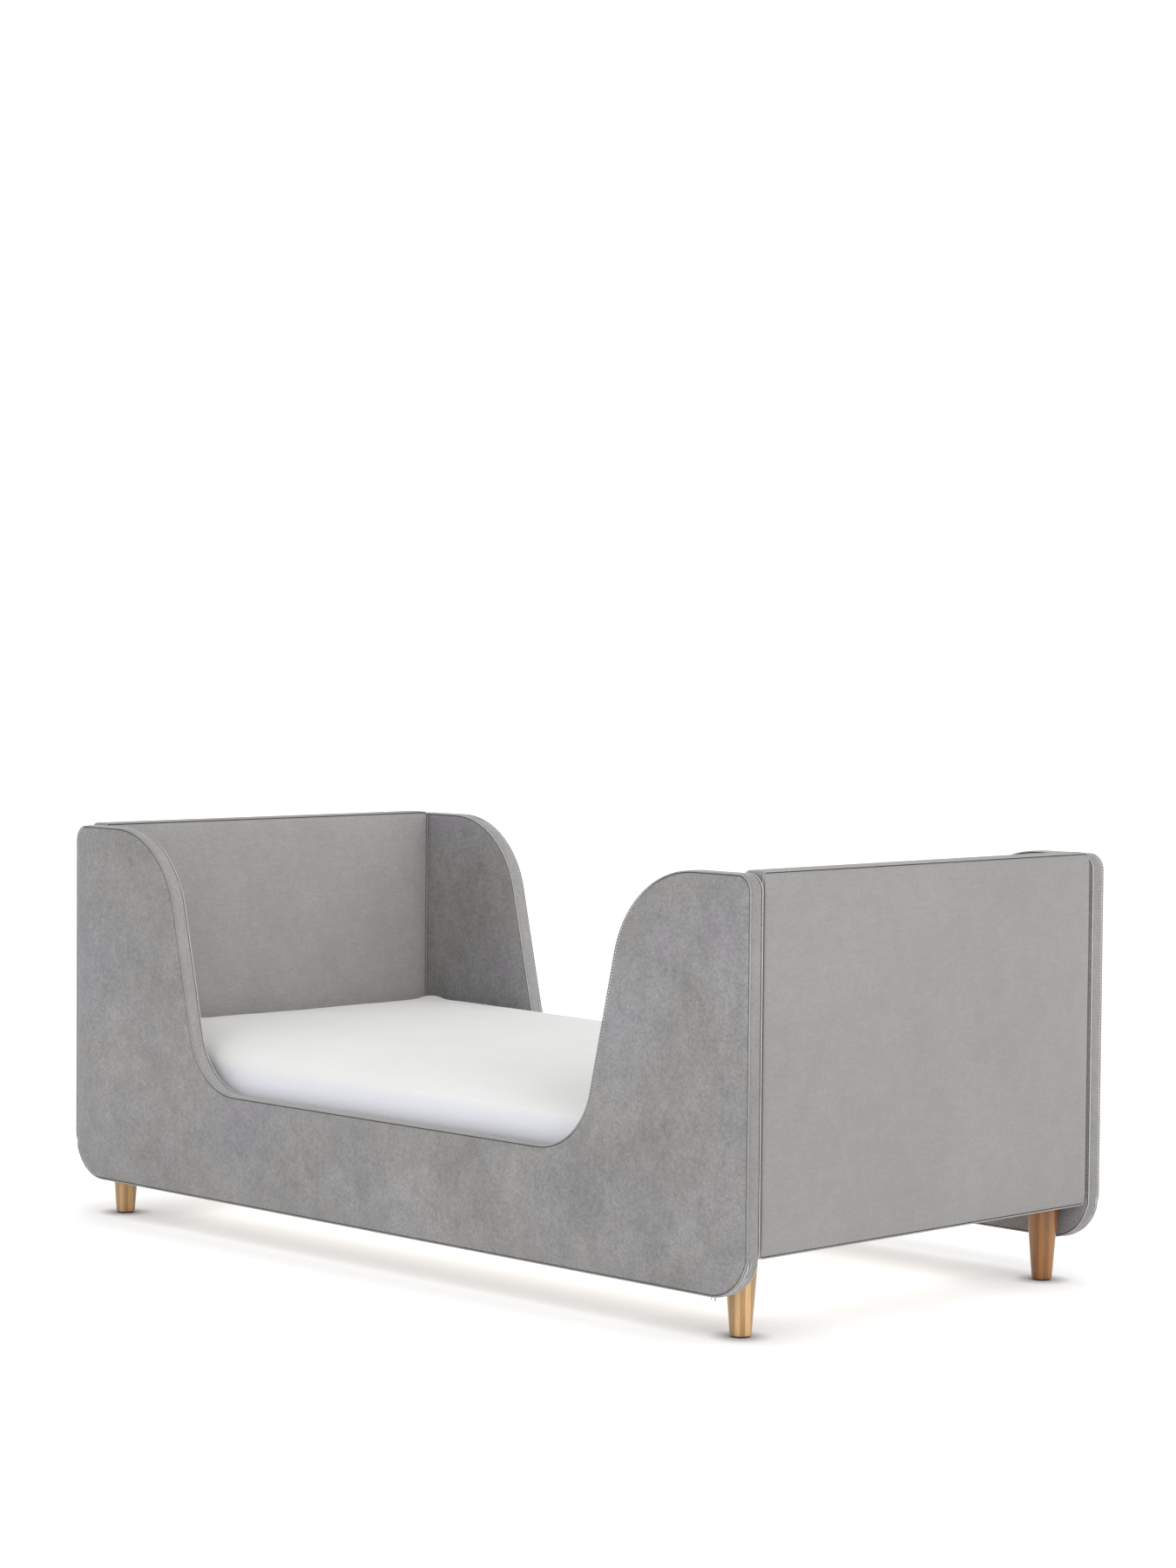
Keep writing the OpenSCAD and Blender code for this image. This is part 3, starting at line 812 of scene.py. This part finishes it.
def closure(panel, strands, label, material):
    """Strands of the hand-sewn closure, round both low corners of a side panel"""
    bm = bmesh.new()
    for end in (-1, 1):
        for across, inset, r, seed in strands:
            outline = panel.outline(inset * MM)
            corner = [(a, z) for a, z in outline if a * end > panel.high.x - 82 * MM and z < panel.low.z + 56 * MM]
            corner.sort(key=lambda p: (p[1] - panel.low.z) + (p[0] * end))
            path, radii = [], []
            for i, (a, z) in enumerate(corner):
                t = i / (len(corner) - 1)
                sway = 0.7 * noise.noise(Vector((t * 7, seed, end)))
                path.append(Vector(panel.point(a, z, panel.outer - (across + sway) * MM)))
                uneven = 1.0 + 0.35 * noise.noise(Vector((t * 15, seed, 7)))
                radii.append(r * MM * uneven * min(1.0, 0.3 + 5 * t, 0.35 + 9 * (1 - t)))
            tube(bm, path, radii)
    piece = settle(bm, f"{panel.name}_closure_{label}", material)
    add_subdivision(piece)
    return piece


THREAD_ENDS = 5


def loose_threads(panel, material):
    """A few thread ends left hanging under the closure, by the foot of the bed"""
    bm = bmesh.new()
    for i in range(THREAD_ENDS):
        a = panel.high.x - (60 + 2.3 * i) * MM
        top = Vector(panel.point(a, panel.low.z + 1.2 * MM, panel.outer - (3.0 + 1.1 * (i % 3)) * MM))
        lean = 0.45 * noise.noise(Vector((i * 3.1, 0.4, 2.0)))
        curl = 0.25 * (-1) ** i
        drop = (5.5 + 1.1 * (i % 3)) * MM
        path = []
        for t in (0, 0.2, 0.4, 0.6, 0.8, 1.0):
            path.append(top + Vector(((lean * t + curl * t * t) * 7 * MM, -0.8 * MM * t, -t * drop)))
        tube(bm, path, [0.26 * MM] * 5 + [0.14 * MM], sides=5)
    return settle(bm, f"{panel.name}_thread_ends", material)


# Row of stitches: inset from the outline and height over the seam plane
STITCH_ROW = (2.25, -0.35)
# Half length, half width and half height of a stitch
STITCH = (1.7, 0.58, 0.42)


# The stitches are near black: thread, and painted shade of the ditch between face and welt.
def seam_stitches(panel, face, material):
    """A row of stitches in the ditch between a face and its welt"""
    points = panel.outline(STITCH_ROW[0] * MM)
    points = np.vstack([points, points[:1]])
    lengths = np.linalg.norm(np.diff(points, axis=0), axis=1)
    along = np.concatenate([[0], np.cumsum(lengths)])
    count = int(along[-1] / sizes().stitch_pitch)
    at = (np.arange(count) + 0.5) * along[-1] / count
    spots = np.stack([np.interp(at, along, points[:, k]) for k in (0, 1)], axis=1)
    ahead = np.stack([np.interp((at + 1 * MM) % along[-1], along, points[:, k]) for k in (0, 1)], axis=1)
    across = panel.depth(face, STITCH_ROW[1] * MM)
    stitch = bmesh.new()
    bmesh.ops.create_icosphere(stitch, subdivisions=1, radius=1.0)
    shape = np.array([v.co for v in stitch.verts])
    mesh = bpy.data.meshes.new("stitch")
    stitch.to_mesh(mesh)
    stitch.free()
    bm = bmesh.new()
    out = Vector(panel.point(0.0, 0.0, 1.0))
    co = []
    for (a, z), (fa, fz) in zip(spots, ahead):
        forward = Vector(panel.point(fa - a, fz - z, 0.0)).normalized()
        side = out.cross(forward).normalized()
        turned = np.array([axis * half * MM for axis, half in zip((forward, side, out), STITCH)])
        co.append(shape @ turned + np.array(panel.point(a, z, across - sink(panel, face, a, z))))
        bm.from_mesh(mesh)
    bpy.data.meshes.remove(mesh)
    for v, p in zip(bm.verts, np.concatenate(co)):
        v.co = p
    return settle(bm, f"{panel.name}_{face}_stitches", material)


def upholster(panel, face_materials, band_material, welt_materials, foam_material, thread_material):
    """All the soft pieces of one panel"""
    name = panel.name
    outline = panel.outline(0.0)
    for face in ("inner", "outer"):
        pad = foam_pad(panel, face, foam_material)
        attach(pad, BED)
        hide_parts(f"{name}_{face}_pad")
        cover = face_cover(panel, face, face_materials[face])
        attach(cover, BED)
        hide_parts(f"{name}_{face}_cover")
        welt = seam_welt(panel, face, welt_materials[face])
        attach(welt, BED)
        stitches = seam_stitches(panel, face, thread_material)
        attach(stitches, BED)
    if panel.is_side:
        trims = [
            # The lips use the lighter welt velvet: painted highlight on their folds.
            closure(panel, LIPS, "lips", welt_materials["inner"]),
            closure(panel, OPENING_SHADOW, "opening", thread_material),
        ]
        if name == "front_panel":
            trims.append(loose_threads(panel, thread_material))
        for trim in trims:
            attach(trim, BED)
    band = edge_band(panel, band_material)
    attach(band, BED)
    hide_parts(f"{name}_edge_band")


# ---------------------------------------------------------------- mattress and sheet


def apply_modifiers(piece):
    """Bakes a piece's modifiers into its mesh"""
    evaluated = piece.evaluated_get(bpy.context.evaluated_depsgraph_get())
    mesh = bpy.data.meshes.new_from_object(evaluated)
    piece.modifiers.clear()
    old = piece.data
    piece.data = mesh
    bpy.data.meshes.remove(old)


def mattress_blank(low, high, corner_r, edge_r):
    """A block with round upright corners and soft top and bottom edges, as a bmesh"""
    bm = bmesh.new()
    bmesh.ops.create_cube(bm, size=1.0)
    bmesh.ops.scale(bm, vec=high - low, verts=bm.verts)
    bmesh.ops.translate(bm, vec=(low + high) / 2, verts=bm.verts)
    uprights = [e for e in bm.edges if abs(e.verts[0].co.z - e.verts[1].co.z) > 1e-6]
    bmesh.ops.bevel(bm, geom=uprights, offset=corner_r, segments=8, profile=0.5, affect="EDGES", material=-1)
    for z, r in ((low.z, 0.45 * edge_r), (high.z, edge_r)):
        rim = [e for e in bm.edges if all(abs(v.co.z - z) < 1e-6 for v in e.verts)]
        bmesh.ops.bevel(bm, geom=rim, offset=r, segments=6, profile=0.5, affect="EDGES", material=-1)
    return bm


SWELL_FRAMES = 20
SWELL_PRESSURE = 4.0
SWELL_CAP = 5 * MM
# Grid of the mattress's skin
VOXEL = 0.0125


def swelled(piece):
    """Swells a closed piece by cloth simulation, no point moving further than the cap"""
    rest = np.array([v.co for v in piece.data.vertices])
    cloth = piece.modifiers.new("Swell", "CLOTH")
    cloth.settings.use_pressure = True
    cloth.settings.uniform_pressure_force = SWELL_PRESSURE
    cloth.settings.effector_weights.gravity = 0.0
    cloth.settings.quality = 4
    cloth.settings.tension_stiffness = 12
    cloth.settings.bending_stiffness = 1.2
    cloth.collision_settings.use_self_collision = False
    for step in range(1, SWELL_FRAMES + 1):
        bpy.context.scene.frame_set(step)
    apply_modifiers(piece)
    moved = np.array([v.co for v in piece.data.vertices])
    shift = moved - rest
    far = np.linalg.norm(shift, axis=1)
    shift *= np.minimum(1.0, SWELL_CAP / np.maximum(far, 1e-9))[:, None]
    piece.data.vertices.foreach_set("co", (rest + shift).ravel())
    piece.data.update()
    bpy.context.scene.frame_set(1)


def make_mattress(material):
    low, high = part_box("mattress_core")
    margin = Vector((2.5 * MM, 4.6 * MM, 1.6 * MM))
    bm = mattress_blank(low + margin, high - margin, sizes().mattress_r, 14 * MM)
    piece = settle(bm, "mattress_block", material)
    remesh = piece.modifiers.new("Voxels", "REMESH")
    remesh.mode = "VOXEL"
    remesh.voxel_size = VOXEL
    remesh.use_smooth_shade = True
    apply_modifiers(piece)
    swelled(piece)
    for v in piece.data.vertices:
        share = max(0.0, (v.co.z - low.z) / (high.z - low.z))
        v.co.z = max(v.co.z + share * share * crown(v.co.x, v.co.y, low, high), low.z)
        v.co.x = min(max(v.co.x, low.x), high.x)
        v.co.y = min(max(v.co.y, low.y), high.y)
    smooth = piece.modifiers.new("Smooth", "SMOOTH")
    smooth.factor = 0.5
    smooth.iterations = 3
    apply_modifiers(piece)
    for polygon in piece.data.polygons:
        polygon.use_smooth = True
    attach(piece, MATTRESS)
    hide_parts("mattress_core")
    return piece


# How far the mattress's top rolls down towards each side, and over what width: front, rear and both ends
ROLLS = {"front": (0.046, 0.125), "rear": (0.012, 0.050), "end": (0.013, 0.055)}


def roll_down(reach, side):
    """Drop of the mattress's top at a distance in from one side"""
    drop, width = ROLLS[side]
    near = min(1.0, max(0.0, 1.0 - reach / width))
    return drop * (1.0 - math.sqrt(1.0 - near * near))


def crown(x, y, low, high):
    """How far the mattress's top stands over its block: fuller towards the head, rolled down at the sides"""
    head = min(1.0, max(0.0, (high.x - 0.25 - x) / (high.x - low.x - 0.28)))
    head = head * head * (3 - 2 * head)
    down = roll_down(y - low.y, "front") + roll_down(high.y - y, "rear")
    down += roll_down(x - low.x, "end") + roll_down(high.x - x, "end")
    return 10.5 * MM * head - 1.0 * MM - down


def sheet_lift(x, y, low, high):
    """How far the sheet stands off the mattress's top: a peak in the rear left corner and soft drag lines"""
    corner = math.hypot(x - low.x - 22 * MM, y - high.y + 20 * MM)
    peak = 13.0 * MM * math.exp(-((corner / (31 * MM)) ** 2))
    drag = 0.0
    for cx, cy in ((low.x, low.y), (high.x, low.y), (low.x, high.y), (high.x, high.y)):
        dx, dy = x - cx, y - cy
        reach = math.hypot(dx, dy)
        turn = math.atan2(abs(dy), abs(dx))
        drag += 0.9 * MM * math.exp(-reach / 0.16) * math.sin(turn * 17.0 + cx * 5 + cy * 3) * min(1.0, reach / 0.04)
    soft = 0.8 * MM * noise.noise(Vector((x * 4.0, y * 5.0, 3.0)))
    return peak + drag + soft


# Width of the sheet that is tucked under the mattress
HEM = 60 * MM


def make_sheet(mattress, material):
    """The fitted sheet, from the mattress's own skin, opened underneath inside its hem"""
    low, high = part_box("fitted_sheet")
    bm = bmesh.new()
    bm.from_mesh(mattress.data)
    bm.normal_update()
    normals = [v.normal.copy() for v in bm.verts]
    for v, n in zip(bm.verts, normals):
        top = min(1.0, max(0.0, n.z)) ** 2
        v.co += n * 1.5 * MM + Vector((0, 0, top * (0.8 * MM + sheet_lift(v.co.x, v.co.y, low, high))))
        side = 1.0 - abs(n.z)
        ripple = noise.noise(Vector((v.co.x * 30, v.co.y * 30, v.co.z * 6)))
        v.co += n * 0.35 * MM * side * ripple
        v.co.y = min(max(v.co.y, low.y - 1.5 * MM), high.y + 1.5 * MM)
    hem = HEM
    for axis, at in ((0, low.x + hem), (0, high.x - hem), (1, low.y + hem), (1, high.y - hem)):
        normal = Vector((0, 0, 0))
        normal[axis] = 1.0
        geometry = list(bm.verts) + list(bm.edges) + list(bm.faces)
        bmesh.ops.bisect_plane(bm, geom=geometry, dist=1e-5, plane_co=normal * at, plane_no=normal)
    mid = (low.z + high.z) / 2
    under = []
    for f in bm.faces:
        x, y, z = f.calc_center_median()
        if z < mid and low.x + hem < x < high.x - hem and low.y + hem < y < high.y - hem:
            under.append(f)
    bmesh.ops.delete(bm, geom=under, context="FACES")
    piece = settle(bm, "sheet_cotton", material)
    add_subdivision(piece)
    add_thickness(piece, 0.7 * MM)
    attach(piece, MATTRESS)
    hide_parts("fitted_sheet")
    return piece


# ---------------------------------------------------------------- legs


LEG_FOOT_R = 15 * MM
# Share of the leg wood's red, green and blue that the darker copy for the rear right leg keeps: painted shade on that
# leg
LEG_SHADE_SHARE = (0.56, 0.365, 0.14)


def leg_profile(low_z, top_z, r_low, r_high):
    """Half section of a leg from its bolt hole's floor round the outside to its pin hole's top"""
    bore, pin, bevel = 4.0 * MM, 1.5 * MM, 1.2 * MM
    points = [(0.0, top_z - 35 * MM), (bore, top_z - 35 * MM), (bore, top_z)]
    points += [(r_high - bevel, top_z), (r_high, top_z - bevel)]
    steps = 10
    for i in range(1, steps):
        t = i / steps
        z = top_z - bevel + (low_z + 2.6 * MM - top_z + bevel) * t
        fall = t + 0.10 * t * (t - 1)
        points.append((r_high + (r_low - r_high) * fall, z))
    for i in range(0, 5):
        t = math.radians(90 * i / 4)
        points.append((r_low - 2.2 * MM + 2.2 * MM * math.cos(t), low_z + 2.2 * MM - 2.2 * MM * math.sin(t)))
    points += [(pin, low_z), (pin, low_z + 11 * MM), (0.0, low_z + 11 * MM)]
    return points


def make_leg(name, material):
    low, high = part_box(name)
    centre = (low + high) / 2
    r_high = (high.x - low.x) / 2
    profile = leg_profile(low.z, high.z, LEG_FOOT_R, r_high)
    bm = bmesh.new()
    verts = [bm.verts.new((centre.x + r, centre.y, z)) for r, z in profile]
    edges = [bm.edges.new(pair) for pair in zip(verts, verts[1:])]
    bmesh.ops.spin(
        bm, geom=verts + edges, cent=(centre.x, centre.y, 0), axis=(0, 0, 1), angle=math.tau, steps=64, use_merge=True
    )
    bmesh.ops.remove_doubles(bm, verts=bm.verts, dist=1e-6)
    piece = settle(bm, name + "_turned", material)
    mark_sharp(piece, 50)
    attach(piece, BED)
    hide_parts(name)
    return piece


def mark_sharp(piece, degrees):
    """Keeps edges over that angle crisp on a smooth-shaded piece"""
    bm = bmesh.new()
    bm.from_mesh(piece.data)
    for e in bm.edges:
        e.smooth = not (len(e.link_faces) == 2 and e.calc_face_angle() > math.radians(degrees))
    bm.to_mesh(piece.data)
    bm.free()


# ---------------------------------------------------------------- CAD nodes that stay


def finish_nodes(names, material):
    for name in names:
        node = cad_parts[name]
        node.data.materials.clear()
        node.data.materials.append(material)


# ---------------------------------------------------------------- stage


# The camera's place and lens, and its turns in degrees
VIEW_TURNS = (135.9284, 2.3865, 0.4761)
VIEW_PLACE = (3.981, -3.8041, 0.9479)
LENS = 81.54


def make_camera():
    """The studio camera, from its yaw, its pitch down and its roll"""
    yaw, pitch, roll = (math.radians(turn) for turn in VIEW_TURNS)
    ahead = Vector((math.cos(yaw) * math.cos(pitch), math.sin(yaw) * math.cos(pitch), -math.sin(pitch)))
    right = Vector((math.sin(yaw), -math.cos(yaw), 0.0))
    up = right.cross(ahead)
    turned_right = math.cos(roll) * right + math.sin(roll) * up
    turned_up = -math.sin(roll) * right + math.cos(roll) * up
    data = bpy.data.cameras.new("studio_camera")
    data.sensor_width = 36.0
    data.lens = LENS
    data.clip_end = 200.0
    camera = bpy.data.objects.new("studio_camera", data)
    camera.matrix_world = Matrix((turned_right, turned_up, -ahead)).transposed().to_4x4()
    camera.location = VIEW_PLACE
    bpy.context.scene.collection.objects.link(camera)
    bpy.context.scene.camera = camera


def make_floor():
    """Pale glowing floor with painted shade: its glow darkens softly close under things"""
    s = Shader("studio_floor", Roughness=0.95, Specular_IOR_Level=0.0, Emission_Strength=0.93)
    s.surface.inputs["Base Color"].default_value = (*colours().floor, 1.0)
    # Painted shade: ambient occlusion dims the floor's glow under the bed and hard against the feet.
    close = s.add("ShaderNodeAmbientOcclusion", Distance=0.18)
    touch = s.add("ShaderNodeAmbientOcclusion", Distance=0.032)
    fall = s.maths("MULTIPLY", s.maths("POWER", close.outputs["AO"], 1.35), s.maths("POWER", touch.outputs["AO"], 3.0))
    s.join(s.shades(fall, WHITE, (0.0, 0.03), (1.0, 1.0)), s.surface.inputs["Emission Color"])
    bm = bmesh.new()
    bmesh.ops.create_circle(bm, cap_ends=True, segments=64, radius=60.0)
    floor = settle(bm, "studio_floor", s.material, smooth=False)


# The soft box: its place, what it faces, its side and its power in watts
KEY_PLACE, KEY_FACES, KEY_SIDE, KEY_POWER = (4.6, -0.9, 2.9), (-0.4, 0, 0.3), 2.6, 105.0


def make_lights():
    """Even white surroundings and one large soft box"""
    world = bpy.data.worlds.new("studio_world")
    world.use_nodes = True
    back = world.node_tree.nodes["Background"]
    back.inputs["Color"].default_value = (*WHITE, 1.0)
    back.inputs["Strength"].default_value = 1.0
    bpy.context.scene.world = world
    data = bpy.data.lights.new("key", "AREA")
    data.shape = "RECTANGLE"
    data.size = data.size_y = KEY_SIDE
    data.energy = KEY_POWER
    light = bpy.data.objects.new("key", data)
    light.location = KEY_PLACE
    light.rotation_euler = (Vector(KEY_FACES) - Vector(KEY_PLACE)).to_track_quat("-Z", "Y").to_euler()
    bpy.context.scene.collection.objects.link(light)


# ---------------------------------------------------------------- operators


class BuildOperator:
    """What the build operators share"""

    bl_options = {"REGISTER", "UNDO"}


class BED_OT_side_panels(BuildOperator, bpy.types.Operator):
    """Upholsters the front and rear side panels"""

    bl_idname = "bed.side_panels"
    bl_label = "Side Panels"

    def execute(self, context):
        c = colours()
        outer = velvet("velvet_side", c.velvet_side, 0.115, cool=0.25)
        # The inner velvet is a little darker than the outer: painted shade inside the bed.
        inner = velvet("velvet_side_inner", times(c.velvet_side, 0.98), 0.12, cool=0.35, ribs=0.03)
        # The band's velvet is lighter than the side velvet as painted light from above, and darker down the bed's ends
        # as painted shade.
        band = velvet("velvet_band", times(c.velvet_side, 1.18), 0.07, ends=0.74)
        # The welts' velvet is lighter than the faces': painted highlight along the folded seams, strongest on the
        # inner seams.
        edge = velvet("velvet_edge", times(c.velvet_side, 1.75), 0.05)
        welt = velvet("velvet_welt", times(c.velvet_side, 1.22), 0.05)
        upholstery_foam = foam("upholstery_foam", c.foam)
        seam = thread("seam_thread", c.thread)
        faces, welts = {"outer": outer, "inner": inner}, {"outer": welt, "inner": edge}
        for name in SIDES:
            upholster(Panel(name), faces, band, welts, upholstery_foam, seam)
        finish_nodes([name + "_core" for name in SIDES], plywood("birch_ply", (0.58, 0.44, 0.27)))
        return {"FINISHED"}


class BED_OT_end_panels(BuildOperator, bpy.types.Operator):
    """Upholsters the headboard and the footboard"""

    bl_idname = "bed.end_panels"
    bl_label = "Headboard and Footboard"

    def execute(self, context):
        c = colours()
        outer = velvet("velvet_end", c.velvet_end, 0.036, ribs=0.022)
        # The inner faces' velvet is lighter than the outer: painted light on the headboard's inner face.
        inner = velvet("velvet_end_inner", times(c.velvet_end, 1.24), 0.045, ribs=0.040)
        welt, pads, seam = (bpy.data.materials[name] for name in ("velvet_welt", "upholstery_foam", "seam_thread"))
        faces, welts = {"outer": outer, "inner": inner}, {"outer": welt, "inner": welt}
        for name in ENDS:
            upholster(Panel(name), faces, outer, welts, pads, seam)
        board = planed_wood("core_board", (0.52, 0.40, 0.25), "Z", rings=60, contrast=0.1)
        finish_nodes([name + "_core" for name in ENDS], board)
        return {"FINISHED"}


class BED_OT_mattress(BuildOperator, bpy.types.Operator):
    """Makes the foam mattress and its fitted sheet"""

    bl_idname = "bed.mattress"
    bl_label = "Mattress and Sheet"

    def execute(self, context):
        block = make_mattress(foam("mattress_foam", (0.84, 0.82, 0.74)))
        make_sheet(block, cotton("sheet_cotton", colours().cotton))
        return {"FINISHED"}


class BED_OT_legs(BuildOperator, bpy.types.Operator):
    """Turns the four legs"""

    bl_idname = "bed.legs"
    bl_label = "Legs"

    def execute(self, context):
        wood = leg_wood("leg_wood", colours().beech)
        shaded_leg_wood = leg_wood("leg_heartwood", tuple(c * share for c, share in zip(colours().beech, LEG_SHADE_SHARE)))
        for name in LEGS:
            # The rear right leg gets the darker copy of the leg wood: painted shade.
            make_leg(name, shaded_leg_wood if name == "leg_rear_right" else wood)
        finish_nodes(["leg_glides"], felt("glide_felt"))
        return {"FINISHED"}


class BED_OT_base(BuildOperator, bpy.types.Operator):
    """Finishes the slats, rails, blocks and fixings"""

    bl_idname = "bed.base"
    bl_label = "Slatted Base and Fixings"

    def execute(self, context):
        pine = colours().pine
        slats = [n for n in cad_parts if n.startswith("slat_") and n != "slat_screws"]
        if not slats:
            raise RuntimeError("the frame has no slats")
        finish_nodes(slats, planed_wood("slat_pine", pine, "Y"))
        finish_nodes(["front_ledger", "rear_ledger"], planed_wood("long_rail_pine", times(pine, 0.94), "X"))
        finish_nodes(["head_ledger", "foot_ledger"], planed_wood("short_rail_pine", times(pine, 0.94), "Y"))
        finish_nodes(BLOCKS, planed_wood("block_pine", times(pine, 0.9), "Z"))
        finish_nodes(STEEL, zinc("zinc_plate", (0.62, 0.64, 0.67), 0.34))
        finish_nodes(["panel_inserts"], zinc("yellow_plate", (0.66, 0.48, 0.20), 0.36))
        return {"FINISHED"}


class BED_OT_stage(BuildOperator, bpy.types.Operator):
    """Sets up the camera, floor and soft studio light"""

    bl_idname = "bed.stage"
    bl_label = "Stage"

    def execute(self, context):
        make_camera()
        make_floor()
        make_lights()
        context.scene.view_settings.view_transform = "Standard"
        return {"FINISHED"}


OPERATORS = (BED_OT_stage, BED_OT_side_panels, BED_OT_end_panels, BED_OT_mattress, BED_OT_legs, BED_OT_base)


class BED_PT_panel(bpy.types.Panel):
    """Sidebar panel with the bed's build steps"""

    bl_idname = "BED_PT_panel"
    bl_label = "Toddler Bed"
    bl_space_type = "VIEW_3D"
    bl_region_type = "UI"
    bl_category = "Toddler Bed"

    def draw(self, context):
        for operator in OPERATORS:
            self.layout.operator(operator.bl_idname)
        for group in (context.scene.bed_sizes, context.scene.bed_colours):
            for name in group.__annotations__:
                self.layout.prop(group, name)


CLASSES = (BedSizes, BedColours, *OPERATORS, BED_PT_panel)


def register():
    for cls in CLASSES:
        bpy.utils.register_class(cls)
    bpy.types.Scene.bed_sizes = PointerProperty(type=BedSizes)
    bpy.types.Scene.bed_colours = PointerProperty(type=BedColours)


def unregister():
    del bpy.types.Scene.bed_colours
    del bpy.types.Scene.bed_sizes
    for cls in reversed(CLASSES):
        bpy.utils.unregister_class(cls)


def main():
    register()
    bpy.ops.bed.stage()
    bpy.ops.bed.side_panels()
    bpy.ops.bed.end_panels()
    bpy.ops.bed.mattress()
    bpy.ops.bed.legs()
    bpy.ops.bed.base()


if __name__ == "__main__":
    main()
